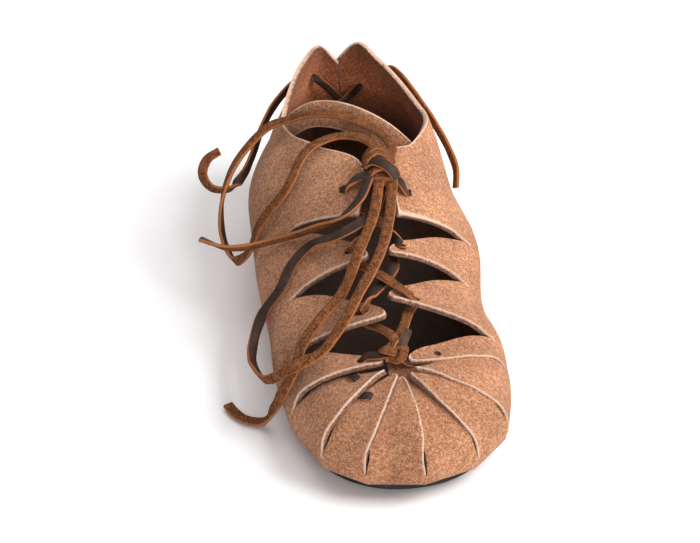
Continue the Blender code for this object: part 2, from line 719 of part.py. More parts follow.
def main():
    clear_scene()
    parts = new_collection("leather_sandal")
    cutters = new_collection("cutters")
    outsole = make_sole_sheet("outsole", OUTSOLE_INSET, 0.0, OUTSOLE_THICK, parts)
    finish(outsole, BLACK_RUBBER, RUBBER_ROUGHNESS)
    insole_bottom = OUTSOLE_THICK + WALL + 2 * CLEAR
    insole = make_sole_sheet("insole", INSOLE_INSET, insole_bottom, INSOLE_THICK, parts)
    finish(insole, INSOLE_LEATHER, LEATHER_ROUGHNESS)
    make_upper(parts, cutters)
    make_lace(parts, cutters)
    place_about_origin(parts, cutters)


main()
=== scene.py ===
# %% [markdown]
# # A suede sandal cut from one hide
#
# The shoe is an old pattern: one piece of suede is slit from its edge into tabs, and the tabs fold up
# round the foot.  Two tabs make the ankle quarters, two a side make straps, and eight small petals
# close over the toes.  A dark leather thong draws everything together and ends in a bow.
#
# The imported solids fix where everything is.  This script replaces each of them by a finely modelled
# piece in the same place, so the first step loads them.

# %% Load the imported model
import math

import bpy
import numpy as np
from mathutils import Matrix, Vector


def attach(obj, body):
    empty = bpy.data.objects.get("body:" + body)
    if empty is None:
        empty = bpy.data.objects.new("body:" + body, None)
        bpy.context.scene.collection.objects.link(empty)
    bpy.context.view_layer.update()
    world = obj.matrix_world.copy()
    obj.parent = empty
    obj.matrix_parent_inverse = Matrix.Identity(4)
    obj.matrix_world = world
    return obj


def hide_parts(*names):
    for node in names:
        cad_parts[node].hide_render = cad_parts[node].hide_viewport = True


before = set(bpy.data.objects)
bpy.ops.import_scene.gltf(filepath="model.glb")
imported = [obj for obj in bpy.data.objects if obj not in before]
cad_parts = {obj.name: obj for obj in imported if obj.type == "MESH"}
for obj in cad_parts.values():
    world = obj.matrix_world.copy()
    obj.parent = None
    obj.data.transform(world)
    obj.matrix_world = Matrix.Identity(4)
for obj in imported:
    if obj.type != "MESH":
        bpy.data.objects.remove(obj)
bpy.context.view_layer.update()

MM = 0.001
print("solids in the frame:", len(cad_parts))

# %% [markdown]
# ## One way to write places
#
# A shoemaker thinks in millimetres from the middle of the sole.  All tables below do the same: +X is
# to the right of someone who faces the toe, +Y runs from toe to heel and +Z is up.  The frame's origin
# is in the middle of the finished shoe instead, so one function moves points from the first to the
# second, and nothing else has to think about it.

# %% Shoe millimetres to frame metres
SHOE_MIDDLE = np.array((-0.98, 2.66, 0.0))
UP = np.array((0.0, 0.0, 1.0))


def in_frame(points):
    return (np.asarray(points, float) - SHOE_MIDDLE) * MM


def unit(vectors):
    vectors = np.asarray(vectors, float)
    return vectors / np.maximum(np.linalg.norm(vectors, axis=-1, keepdims=True), 1e-9)


# %% [markdown]
# ## Camera
#
# The photograph looks down on the toe from a little to the left.  The eye stays where the photograph
# was taken, relative to this shoe, and only turns to put the shoe in the middle.  A longer lens then
# fills the frame with it, which keeps the same perspective.

# %% Camera at the photograph's angle
EYE = (-96.1, -662.3, 519.9)
AIM = (-11.3, -7.0, 36.0)
LENS = 92.0


def deselect():
    if bpy.context.object and bpy.context.object.mode != "OBJECT":
        bpy.ops.object.mode_set(mode="OBJECT")
    bpy.ops.object.select_all(action="DESELECT")


deselect()
look = Vector(in_frame(AIM) - in_frame(EYE))
bpy.ops.object.camera_add(location=in_frame(EYE), rotation=look.to_track_quat("-Z", "Y").to_euler())
camera = bpy.context.object
camera.data.lens = LENS
bpy.context.scene.camera = camera
print("camera looks down by", round(math.degrees(math.asin(-look.normalized().z)), 1), "degrees")

# %% [markdown]
# ## Floor and light
#
# The studio is white: a soft light from the right models the suede, a large one above whitens the
# floor, a weaker one in front reaches into the heel, and one behind draws the edges.  The left stays
# in shadow, as in the photograph.  The floor is staged, so it is not counted as part of the shoe.

# %% Studio
FLOOR_SIZE = 8.0
FLOOR_COLOUR = (0.96, 0.95, 0.96, 1.0)
FLOOR_ROUGHNESS = 0.7
WORLD_COLOUR = (1.0, 1.0, 1.0, 1.0)
WORLD_STRENGTH = 0.20
VIEW_GAMMA = 0.9
LIGHT_AIM = Vector((0.0, 0.0, 0.03))
# Columns: name, place, size, watts
LIGHTS = (
    ("key_light", (1.05, -0.24, 1.05), 0.9, 24.0),
    ("top_light", (0.1, 0.2, 1.7), 1.6, 8.5),
    ("front_light", (-0.1, -1.5, 0.55), 1.4, 15.0),
    ("back_light", (-0.2, 1.3, 1.2), 1.4, 9.0),
)

deselect()
bpy.ops.mesh.primitive_plane_add(size=FLOOR_SIZE)
floor = bpy.context.object
floor.name = "studio_floor"
floor_paint = bpy.data.materials.new("floor_paint")
floor_paint.use_nodes = True
floor_shader = floor_paint.node_tree.nodes["Principled BSDF"]
floor_shader.inputs["Base Color"].default_value = FLOOR_COLOUR
floor_shader.inputs["Roughness"].default_value = FLOOR_ROUGHNESS
floor.data.materials.append(floor_paint)

for light_name, place, size, energy in LIGHTS:
    turn = (LIGHT_AIM - Vector(place)).to_track_quat("-Z", "Y").to_euler()
    bpy.ops.object.light_add(type="AREA", location=place, rotation=turn)
    light = bpy.context.object
    light.name = light_name
    light.data.size = size
    light.data.energy = energy

world = bpy.data.worlds.new("studio_world")
world.use_nodes = True
background = world.node_tree.nodes["Background"]
background.inputs["Color"].default_value = WORLD_COLOUR
background.inputs["Strength"].default_value = WORLD_STRENGTH
bpy.context.scene.world = world
bpy.context.scene.view_settings.view_transform = "Standard"
bpy.context.scene.view_settings.gamma = VIEW_GAMMA
print("lights:", len(LIGHTS))

# %% [markdown]
# ## Materials from nodes
#
# A procedural material is a chain of small nodes, and most of its code would only add and link them.
# These helpers take that over.  Each adds one node, feeds its inputs with links or constant values and
# returns what the next node needs, so that the materials below read like recipes.

# %% Node helpers
# Places of a Mix node's sockets when it mixes colours: factor, first, second, and the result
MIX_INPUTS = (0, 6, 7)
MIX_RESULT = 2


def feed(tree, socket, value):
    """Link a socket to another one, or set its constant value."""
    if isinstance(value, bpy.types.NodeSocket):
        tree.links.new(value, socket)
    else:
        socket.default_value = value


def add_node(tree, kind, **inputs):
    """A new node with its inputs fed by name, where _ stands for a space."""
    node = tree.nodes.new(kind)
    for name, value in inputs.items():
        feed(tree, node.inputs[name.replace("_", " ")], value)
    return node


def math_node(tree, operation, first, second):
    node = tree.nodes.new("ShaderNodeMath")
    node.operation = operation
    feed(tree, node.inputs[0], first)
    feed(tree, node.inputs[1], second)
    return node.outputs[0]


def ramp_node(tree, factor, stops):
    node = tree.nodes.new("ShaderNodeValToRGB")
    ramp = node.color_ramp
    while len(ramp.elements) < len(stops):
        ramp.elements.new(0.5)
    for element, (place, colour) in zip(ramp.elements, stops):
        element.position = place
        element.color = (*colour, 1.0) if len(colour) == 3 else colour
    tree.links.new(factor, node.inputs["Fac"])
    return node.outputs["Color"]


def mix_colour(tree, factor, first, second, blend="MIX"):
    node = tree.nodes.new("ShaderNodeMix")
    node.data_type = "RGBA"
    node.blend_type = blend
    for place, value in zip(MIX_INPUTS, (factor, first, second)):
        feed(tree, node.inputs[place], value)
    return node.outputs[MIX_RESULT]


def noise(tree, vector, scale, detail, roughness, distortion=0.0):
    node = add_node(
        tree, "ShaderNodeTexNoise", Vector=vector, Scale=scale, Detail=detail, Roughness=roughness,
        Distortion=distortion,
    )
    return node.outputs["Fac"]


def new_group(name, inputs, outputs):
    tree = bpy.data.node_groups.new(name, "ShaderNodeTree")
    for socket_name, kind, value in inputs:
        socket = tree.interface.new_socket(name=socket_name, in_out="INPUT", socket_type=kind)
        if value is not None:
            socket.default_value = value
    for socket_name, kind in outputs:
        tree.interface.new_socket(name=socket_name, in_out="OUTPUT", socket_type=kind)
    return tree, tree.nodes.new("NodeGroupInput"), tree.nodes.new("NodeGroupOutput")


def grey(value):
    return (value, value, value)


def new_material(name, roughness):
    material = bpy.data.materials.new(name)
    material.use_nodes = True
    tree = material.node_tree
    shader = tree.nodes["Principled BSDF"]
    shader.inputs["Roughness"].default_value = roughness
    coords = tree.nodes.new("ShaderNodeTexCoord").outputs["Object"]
    return material, tree, shader, coords


def use_group(tree, group, **inputs):
    node = tree.nodes.new("ShaderNodeGroup")
    node.node_tree = group
    for name, value in inputs.items():
        feed(tree, node.inputs[name], value)
    return node.outputs


def add_bump(tree, shader, height, strength, distance):
    """Let a height tilt the surface's normals, without moving the surface."""
    bump = add_node(tree, "ShaderNodeBump", Strength=strength, Distance=distance * MM, Height=height)
    tree.links.new(bump.outputs["Normal"], shader.inputs["Normal"])


print("places of a colour mix:", MIX_INPUTS)

# %% [markdown]
# ## Suede nap
#
# Suede is leather with a brushed surface: short fibres stand up and lie in patches, which the eye
# reads as speckle and as lighter and darker strokes.  The outside, the cut edges and the rough side of
# the thong all show it, so it is one node group that two materials use.

# %% Suede nap group
NAP_PER_METRE = 2100.0
MOTTLE_SHARE = 0.32
STROKE_PER_METRE = 46.0

nap_group, nap_in, nap_out = new_group(
    "suede_nap",
    (("Vector", "NodeSocketVector", None), ("Scale", "NodeSocketFloat", NAP_PER_METRE)),
    (("Speckle", "NodeSocketFloat"), ("Stroke", "NodeSocketFloat"), ("Height", "NodeSocketFloat")),
)
nap_place, nap_scale = nap_in.outputs["Vector"], nap_in.outputs["Scale"]
nap_fine = noise(nap_group, nap_place, nap_scale, detail=2.5, roughness=0.6)
mottle_scale = math_node(nap_group, "MULTIPLY", nap_scale, MOTTLE_SHARE)
nap_mottle = noise(nap_group, nap_place, mottle_scale, detail=2.0, roughness=0.5)
nap_stroke = noise(
    nap_group, nap_place, STROKE_PER_METRE, detail=4.0, roughness=0.6, distortion=0.6
)
nap_fibres = math_node(nap_group, "MULTIPLY", nap_fine, 1 - MOTTLE_SHARE)
nap_patches = math_node(nap_group, "MULTIPLY", nap_mottle, MOTTLE_SHARE)
nap_sum = math_node(nap_group, "ADD", nap_fibres, nap_patches)
nap_group.links.new(nap_sum, nap_out.inputs["Speckle"])
nap_group.links.new(nap_stroke, nap_out.inputs["Stroke"])
nap_group.links.new(nap_sum, nap_out.inputs["Height"])
print("suede nap outputs:", [socket.name for socket in nap_out.inputs if socket.name])

# %% [markdown]
# ## Smooth grain
#
# The good side of leather is smooth, with fine pebbles and broad worn patches.  Voronoi cells give the
# pebbles and a slow noise gives the wear.  The thong, the insole and even the dull rubber use this
# group, each at its own scale.

# %% Smooth leather grain group
GRAIN_PER_METRE = 900.0
WEAR_PER_METRE = 120.0

grain_group, grain_in, grain_out = new_group(
    "leather_grain",
    (("Vector", "NodeSocketVector", None), ("Scale", "NodeSocketFloat", GRAIN_PER_METRE)),
    (("Pebble", "NodeSocketFloat"), ("Wear", "NodeSocketFloat")),
)
grain_place, grain_scale = grain_in.outputs["Vector"], grain_in.outputs["Scale"]
grain_cells = add_node(grain_group, "ShaderNodeTexVoronoi", Vector=grain_place, Scale=grain_scale)
grain_wear = noise(grain_group, grain_place, WEAR_PER_METRE, detail=5.0, roughness=0.65)
grain_group.links.new(grain_cells.outputs["Distance"], grain_out.inputs["Pebble"])
grain_group.links.new(grain_wear, grain_out.inputs["Wear"])
print("leather grain outputs:", [socket.name for socket in grain_out.inputs if socket.name])

# %% [markdown]
# ## Suede
#
# The hide is a warm, slightly pink tan.  Where it was cut, the core shows as a darker brown face, and
# the sharp outer corner of each cut is rubbed pale and fuzzy.  Those places follow the geometry, so
# the mesh carries them in a colour attribute named edge: red is the rubbed corner, green the cut face
# and blue the inside of the shoe.  The inside is painted darker low down and at the top of the heel, as
# shade within the shoe, so its tint follows the height.  A second attribute darkens patches, with dye
# and with painted shade.

# %% Suede material
SUEDE_DARK = (0.262, 0.104, 0.052)
SUEDE_MID = (0.458, 0.223, 0.124)
SUEDE_PALE = (0.67, 0.405, 0.248)
# Lining tints by height: painted shade low down by the insole and at the top of the heel, lighter between
INSIDE_MIDDLE = (1.38, 1.05, 0.88)
INSIDE_SHADE_LOW = (0.26, 0.195, 0.155)
INSIDE_SHADE_HIGH = (0.45, 0.34, 0.285)
SHADED_BELOW = 34.0 * MM
MIDDLE_AT = 58.0 * MM
SHADED_ABOVE = 84.0 * MM
STROKE_DARK = (0.78, 0.76, 0.75)
STROKE_PALE = (1.14, 1.12, 1.10)
CUT_CORE_DARK = (0.115, 0.055, 0.038)
CUT_CORE_PALE = (0.34, 0.185, 0.13)
RUBBED = (0.68, 0.47, 0.345, 1.0)
NAP_MIDDLE = 0.5
FRAYING = 1.3
RUBBED_FROM = 0.52
RUBBED_FULL = 0.82
# Tint of the darker patches: dye from the thongs and painted shade
GRIME_AND_SHADE_TINT = (0.42, 0.33, 0.28, 1.0)

suede, tree, shader, coords = new_material("suede", roughness=0.95)
nap = use_group(tree, nap_group, Vector=coords)
edge = tree.nodes.new("ShaderNodeAttribute")
edge.attribute_name = "edge"
edge_parts = add_node(tree, "ShaderNodeSeparateColor", Color=edge.outputs["Color"])
speckle_stops = ((0.38, SUEDE_DARK), (0.50, SUEDE_MID), (0.62, SUEDE_PALE))
speckled = ramp_node(tree, nap["Speckle"], speckle_stops)
strokes = ramp_node(tree, nap["Stroke"], ((0.30, STROKE_DARK), (0.70, STROKE_PALE)))
brushed = mix_colour(tree, 1.0, speckled, strokes, "MULTIPLY")
# Darker patches stored on the points: dye, and painted shade over the petals and under the toe knot
soil_and_shade = tree.nodes.new("ShaderNodeAttribute")
soil_and_shade.attribute_name = "soil_and_shade"
soiled_and_shaded = mix_colour(tree, 1.0, brushed, GRIME_AND_SHADE_TINT, "MULTIPLY")
outside = mix_colour(tree, soil_and_shade.outputs["Fac"], brushed, soiled_and_shaded)
# The lining is painted darker low down and at the top, as shade inside the shoe
height = add_node(tree, "ShaderNodeSeparateXYZ", Vector=coords).outputs["Z"]
lining_range = add_node(
    tree, "ShaderNodeMapRange", Value=height, From_Min=SHADED_BELOW, From_Max=SHADED_ABOVE
).outputs["Result"]
middle_share = (MIDDLE_AT - SHADED_BELOW) / (SHADED_ABOVE - SHADED_BELOW)
lining_shade_stops = ((0.0, INSIDE_SHADE_LOW), (middle_share, INSIDE_MIDDLE), (1.0, INSIDE_SHADE_HIGH))
lining_shade = ramp_node(tree, lining_range, lining_shade_stops)
inside = mix_colour(tree, 1.0, brushed, lining_shade, "MULTIPLY")
tan = mix_colour(tree, edge_parts.outputs["Blue"], outside, inside)
core = ramp_node(tree, nap["Speckle"], ((0.40, CUT_CORE_DARK), (0.60, CUT_CORE_PALE)))
with_core = mix_colour(tree, edge_parts.outputs["Green"], tan, core)
raised = math_node(tree, "SUBTRACT", nap["Speckle"], NAP_MIDDLE)
fibres = math_node(tree, "MULTIPLY", raised, FRAYING)
frayed = math_node(tree, "ADD", edge_parts.outputs["Red"], fibres)
rubbed_mask = add_node(
    tree, "ShaderNodeMapRange", Value=frayed, From_Min=RUBBED_FROM, From_Max=RUBBED_FULL
).outputs["Result"]
tree.links.new(mix_colour(tree, rubbed_mask, with_core, RUBBED), shader.inputs["Base Color"])
add_bump(tree, shader, nap["Height"], strength=0.7, distance=0.7)
shader.inputs["Sheen Weight"].default_value = 0.08
shader.inputs["Sheen Roughness"].default_value = 0.6
shader.inputs["Specular IOR Level"].default_value = 0.15
print("suede nodes:", len(tree.nodes))

# %% [markdown]
# ## Thong leather
#
# A thong is a narrow strip of dyed leather.  Its good side is dark and a little shiny, its rough side
# is brown, and the two cut edges are bare orange leather.  Each strip's UV map says which side a point
# is on: u is 0 on the rough side, 0.5 on the edges and 1 on the good side, and v runs along the strip.

# %% Thong material
THONG_ROUGH_DARK = (0.070, 0.026, 0.011)
THONG_ROUGH_PALE = (0.30, 0.120, 0.048)
THONG_EDGE = (0.48, 0.185, 0.070, 1.0)
THONG_GOOD_DARK = (0.030, 0.017, 0.012)
THONG_GOOD_PALE = (0.095, 0.053, 0.038)
THONG_NAP_PER_METRE = 1150.0
THONG_GRAIN_PER_METRE = 2600.0
THONG_DULL = 0.95
THONG_GLOSSY = 0.48
EDGE_SOILED = 0.35
PEBBLE_RELIEF = 0.22

thong_leather, tree, shader, coords = new_material("thong_leather", roughness=0.6)
nap = use_group(tree, nap_group, Vector=coords, Scale=THONG_NAP_PER_METRE)
grain = use_group(tree, grain_group, Vector=coords, Scale=THONG_GRAIN_PER_METRE)
strip = tree.nodes.new("ShaderNodeUVMap")
strip.uv_map = "strip"
strip_side = add_node(tree, "ShaderNodeSeparateXYZ", Vector=strip.outputs["UV"]).outputs["X"]
rough_side = ramp_node(tree, nap["Speckle"], ((0.36, THONG_ROUGH_DARK), (0.64, THONG_ROUGH_PALE)))
good_side = ramp_node(tree, grain["Wear"], ((0.35, THONG_GOOD_DARK), (0.72, THONG_GOOD_PALE)))
edge_mask = ramp_node(tree, strip_side, ((0.20, grey(0)), (0.34, grey(1))))
good_mask = ramp_node(tree, strip_side, ((0.68, grey(0)), (0.80, grey(1))))
edge_tone = mix_colour(tree, EDGE_SOILED, THONG_EDGE, rough_side)
bare = mix_colour(tree, edge_mask, rough_side, edge_tone)
tree.links.new(mix_colour(tree, good_mask, bare, good_side), shader.inputs["Base Color"])
gloss = ramp_node(tree, good_mask, ((0.0, grey(THONG_DULL)), (1.0, grey(THONG_GLOSSY))))
tree.links.new(gloss, shader.inputs["Roughness"])
pebble = math_node(tree, "MULTIPLY", grain["Pebble"], PEBBLE_RELIEF)
relief = mix_colour(tree, good_mask, nap["Height"], pebble)
add_bump(tree, shader, relief, strength=0.7, distance=0.6)
shader.inputs["Specular IOR Level"].default_value = 0.2
print("thong leather nodes:", len(tree.nodes))

# %% [markdown]
# ## Insole leather and sole rubber
#
# The insole is smooth leather, coloured almost black as painted shade deep inside the shoe, with lighter
# and darker patches, and polished where a foot presses.  The sole is a thin sheet of black rubber with a
# fine dull surface and pale dust in its hollows.

# %% Insole and sole materials
# Both insole tones are kept very dark as painted shade inside the shoe
INSOLE_SHADE_DARK = (0.040, 0.019, 0.011)
INSOLE_SHADE_PALE = (0.105, 0.051, 0.028)
RUBBER_BLACK = (0.012, 0.012, 0.013)
RUBBER_DUSTY = (0.045, 0.042, 0.040)
INSOLE_POLISHED = 0.55
INSOLE_DULL = 0.8
INSOLE_GRAIN_PER_METRE = 1100.0
RUBBER_GRAIN_PER_METRE = 650.0

insole_leather, tree, shader, coords = new_material("insole_leather", roughness=0.7)
grain = use_group(tree, grain_group, Vector=coords, Scale=INSOLE_GRAIN_PER_METRE)
worn_and_shaded = ramp_node(tree, grain["Wear"], ((0.32, INSOLE_SHADE_DARK), (0.68, INSOLE_SHADE_PALE)))
tree.links.new(worn_and_shaded, shader.inputs["Base Color"])
polish = ramp_node(tree, grain["Wear"], ((0.3, grey(INSOLE_POLISHED)), (0.7, grey(INSOLE_DULL))))
tree.links.new(polish, shader.inputs["Roughness"])
add_bump(tree, shader, grain["Pebble"], strength=0.35, distance=0.4)

sole_rubber, tree, shader, coords = new_material("sole_rubber", roughness=0.65)
grain = use_group(tree, grain_group, Vector=coords, Scale=RUBBER_GRAIN_PER_METRE)
dusty = ramp_node(tree, grain["Wear"], ((0.45, RUBBER_BLACK), (0.85, RUBBER_DUSTY)))
tree.links.new(dusty, shader.inputs["Base Color"])
add_bump(tree, shader, grain["Pebble"], strength=0.3, distance=0.5)
print("finishes:", [m.name for m in (suede, thong_leather, insole_leather, sole_rubber)])

# %% [markdown]
# ## The form of the hide
#
# The upper follows the same rules as its solid: a fold line seen from above, a table with one row for
# each cut, and smooth curves between them.  The functions here read those tables at many more places
# than the solid does, and let the toe petals really lap over each other.

# %% Tables of the hide
LENGTH = 250.0
BALL_HALF = 47.5
HEEL_HALF = 34.0
HEEL_HEIGHT = 80.0
INSTEP_HEIGHT = 74.0
WALL = 2.4
CLEAR = 0.3
OUTSOLE_THICK = 4.0
TOE_SPRING = 3.0
SPRING_START_Y = -55.0
TOE_Y = -LENGTH / 2 + 1.0
HEEL_Y = LENGTH / 2 + 1.0

# Columns: half width, y, centre line's x
OUTLINE = (
    (0.0, HEEL_Y, 0.0),
    (0.51 * HEEL_HALF, HEEL_Y - 4.4, 0.0),
    (0.86 * HEEL_HALF, HEEL_Y - 16.0, 0.0),
    (HEEL_HALF, HEEL_Y - 34.0, 0.0),
    (38.5, 55.0, -0.5),
    (43.0, 15.0, -0.8),
    (45.5, -30.0, 0.0),
    (BALL_HALF, -75.0, 1.2),
    (0.89 * BALL_HALF, -98.9, 1.2),
    (0.585 * BALL_HALF, -115.5, 1.0),
    (0.298 * BALL_HALF, -122.2, 0.6),
    (0.0, TOE_Y, 0.5),
)

# step and tip_step are half the height between two tabs along their cut and at their tips, and lap is
# how far the tab on top reaches over the one below it.  None stands where a quarter's top edge, in a
# table of its own below, says where the tab ends
CUT_COLUMNS = (
    "name", "side", "y", "z", "inset", "lean", "flare", "tip_before", "tip_after", "rise", "over",
    "step", "tip_step", "lap",
)
CUTS = (
    ("heel_seam", -1, HEEL_Y, 24, -2.0, 0, 8, None, None, None, 1, 1.5, 1.5, 2.6),
    ("left_quarter", -1, 8, 45, 3.0, 50, 58, None, (-10, -21, 62), 20, 1, 1.8, 1.8, -1.1),
    ("left_strap", -1, -27, 36, 4.0, 52, 44, (-8.5, -33, 59), (-5, -54, 52), 20, 1, 1.6, 1.6, -1.1),
    ("left_vamp", -1, -61, 30, 2.5, 48, 28, (-7, -63.6, 49.4), (-9, -78, 43), 18, 1, 1.6, 1.6, -1.1),
    ("petal_1", -1, -82, 18, 0.5, 14, 8, (-8.5, -82.5, 40.5), (-9, -84, 39.5), 6, 1, 1.9, 1.8, 1.2),
    ("petal_2", -1, -107.5, 15, 0, 6, 0, (-6.8, -86.8, 39.6), (-7.6, -88.4, 38.9), 4, 1, 1.7, 1.5, 1.4),
    ("petal_3", -1, -120, 15, 0, 6, 0, (-1.0, -90.6, 39.2), (-3.2, -91.6, 38.2), 4, 1, 1.15, 1.25, 2.0),
    ("petal_4", 1, -123.8, 15, 0, 6, 0, (3.0, -91.0, 38.6), (-6.5, -79.5, 39.3), 13, 1, 0.85, 1.25, 1.6),
    ("petal_5", 1, -116.3, 15, 0, 6, 0, (6.0, -79.5, 39.3), (4.0, -90.4, 39), 13, -1, 0.50, 1.25, 1.6),
    ("petal_6", 1, -100, 16, -0.8, 6, 0, (7.0, -87.0, 39.4), (7.0, -86.2, 39.8), 4, -1, 0.45, 1.1, 1.8),
    ("petal_7", 1, -73, 22, 0, 16, 10, (7.4, -84.2, 40.2), (6.6, -83.2, 40.6), 6, -1, 0.55, 1.2, 1.8),
    ("right_vamp", 1, -60, 32, 4.5, 44, 14, (8.5, -75, 43.5), (4.5, -53, 51), 18, -1, 1.6, 1.6, -1.1),
    ("right_strap", 1, -24, 36, 6.0, 52, 14, (3, -44.5, 53.5), (6, -29, 58.5), 20, -1, 1.6, 1.6, -1.1),
    ("right_quarter", 1, 0, 41, -1.0, 50, 18, (7.5, -21, 61.5), None, 24, -1, 1.8, 1.8, -1.1),
)
GUIDE_COLUMNS = ("side", "y", "z", "inset", "lean", "flare")
GUIDES = (
    (-1, 95, 34, -7.0, 4, 18),
    (-1, 55, 42, -11.5, 18, 34),
    (1, 95, 34, -5.0, 4, 12),
    (1, 50, 42, -5.0, 14, 16),
)

# Top edges of the quarters.  Columns: share of the tab's width, x, y, z, rise in degrees
RIM_LEFT = (
    (0.00, -1.0, 125.0, 72.0, 85),
    (0.06, -8.5, 125.5, HEEL_HEIGHT, 85),
    (0.17, -19.0, 115.0, 77.0, 82),
    (0.40, -32.0, 82.0, 67.0, 70),
    (0.60, -29.5, 64.0, 67.0, 50),
    (0.78, -19.0, 45.0, 71.0, 26),
    (0.92, -1.5, 17.0, INSTEP_HEIGHT, 14),
    (1.00, -7.0, -8.0, 65.5, 20),
)
RIM_RIGHT = (
    (0.00, 0.5, 125.0, 72.0, 85),
    (0.06, 8.0, 125.5, HEEL_HEIGHT, 85),
    (0.17, 18.0, 114.0, 77.0, 82),
    (0.40, 32.0, 84.0, 70.0, 74),
    (0.62, 34.0, 62.0, 71.0, 58),
    (0.80, 23.0, 40.0, 72.0, 28),
    (0.92, 11.5, 24.0, INSTEP_HEIGHT, 14),
    (1.00, 9.0, -10.0, 65.5, 22),
)
RIMS = {"heel_seam": RIM_LEFT, "right_quarter": RIM_RIGHT}
print("cuts in the hide:", len(CUTS))

# %% [markdown]
# ## Curves through tables
#
# A cubic Hermite curve passes through every row of a table with a smooth slope, which is what a
# flexible ruler does on paper.  The fold line, the feet of the cuts and the thongs all use it.

# %% Fold line and smooth curves
OUTLINE_SAMPLES = 720


def ease(t, start, leave, end, arrive):
    """The place at share t of a way that leaves its start and reaches its end at these slopes."""
    return (
        (2 * t**3 - 3 * t**2 + 1) * start
        + (t**3 - 2 * t**2 + t) * leave
        + (3 * t**2 - 2 * t**3) * end
        + (t**3 - t**2) * arrive
    )


def hermite(knots, values, at):
    knots, values, at = (np.asarray(a, float) for a in (knots, values, at))
    slope = np.gradient(values, knots, axis=0)
    span = np.clip(np.searchsorted(knots, at, side="right") - 1, 0, len(knots) - 2)
    width = knots[span + 1] - knots[span]
    t = (at - knots[span]) / width
    shape = (-1,) + (1,) * (values.ndim - 1)
    t, width = t.reshape(shape), width.reshape(shape)
    return ease(t, values[span], width * slope[span], values[span + 1], width * slope[span + 1])


def read_columns(at, knots, values):
    """Rows of a table read at places between its knots, on straight lines."""
    return np.stack([np.interp(at, knots, column) for column in values.T], 1)


def lengths_along(points):
    """How far each point lies along the line through all of them."""
    return np.concatenate([[0], np.cumsum(np.linalg.norm(np.diff(points, axis=0), axis=1))])


def smoothstep(t):
    t = np.clip(t, 0.0, 1.0)
    return t * t * (3 - 2 * t)


def closed_outline():
    half_width, y, centre = np.array(OUTLINE).T
    left, right = (np.column_stack([centre + side * half_width, y]) for side in (-1, 1))
    ring = np.concatenate([left, right[-2:0:-1]])
    # Points repeated past both ends let the curve close smoothly
    ring = np.concatenate([ring[-3:], ring, ring[:4]])
    along = lengths_along(ring)
    return hermite(along, ring, np.linspace(along[3], along[-4], OUTLINE_SAMPLES, endpoint=False))


RING = closed_outline()
CLOSED_RING = np.concatenate([RING, RING[:1]])
RING_ALONG = lengths_along(CLOSED_RING)
GIRTH = RING_ALONG[-1]


def ring_at(along, inset=0.0):
    """Points of the fold line at distances along it, moved inwards by inset."""
    tangent = unit(np.gradient(np.concatenate([RING[-1:], CLOSED_RING, RING[1:2]]), axis=0)[1:-1])
    inward = np.stack([-tangent[:, 1], tangent[:, 0]], 1)
    along = np.asarray(along, float) % GIRTH
    moved = read_columns(along, RING_ALONG, inward) * np.asarray(inset, float).reshape(-1, 1)
    return read_columns(along, RING_ALONG, CLOSED_RING) + moved


def place_on_ring(side, y):
    """How far along the fold line one side of the shoe reaches this y."""
    mask = RING[:, 0] * side >= -1e-9
    index = np.where(mask)[0][np.argmin(np.abs(RING[mask, 1] - y))]
    return RING_ALONG[index]


def sole_lift(y):
    return TOE_SPRING * np.clip((SPRING_START_Y - y) / (SPRING_START_Y - TOE_Y), 0, 1) ** 2


CUT = [dict(zip(CUT_COLUMNS, row)) for row in CUTS]
CUT_ALONG = [0.0] + [place_on_ring(c["side"], c["y"]) for c in CUT[1:]] + [GIRTH]
GUIDE = [dict(zip(GUIDE_COLUMNS, row)) for row in GUIDES]
print("length of the fold line, mm:", round(float(GIRTH), 1))

# %% [markdown]
# ## The wall
#
# The wall starts flat under the insole, turns round the fold and rises to the feet of the cuts.  At the
# toe the fold breaks at each cut and runs almost straight between them, as slit and bent leather does.

# %% Wall up to the cuts
FOLD_RADIUS = 5.0
FOLD_TURNS = np.linspace(0, 90, 8)
WALL_STEPS = np.linspace(0, 1, 13)[1:]
WALL_PULL = 1.3
MARGIN = 13.0
FACETED = 0.95


def foot_values(along, column):
    """A column of the cuts and guides, read smoothly round the whole fold line."""
    rows = [(place, cut[column]) for place, cut in zip(CUT_ALONG, CUT)]
    rows += [(place_on_ring(guide["side"], guide["y"]), guide[column]) for guide in GUIDE]
    rows = np.array(sorted(rows), float)
    rows = np.concatenate([rows[-2:] - (GIRTH, 0), rows, rows[:2] + (GIRTH, 0)])
    return hermite(rows[:, 0], rows[:, 1], along)


def facet_inset(along):
    """How far a petal's flat foot lies inside the round fold line, as the fold breaks at the cuts."""
    inset = np.zeros(len(along))
    for index, cut in enumerate(CUT[:-1]):
        ends = np.array(CUT_ALONG[index : index + 2])
        if not (cut["name"].startswith("petal") and CUT[index + 1]["name"].startswith("petal")):
            continue
        start, end = ring_at(ends)
        chord = unit(end - start)
        away = ring_at(along) - start
        within = (along > ends[0]) & (along < ends[1])
        inset += within * FACETED * np.abs(away[:, 0] * chord[1] - away[:, 1] * chord[0])
    return inset


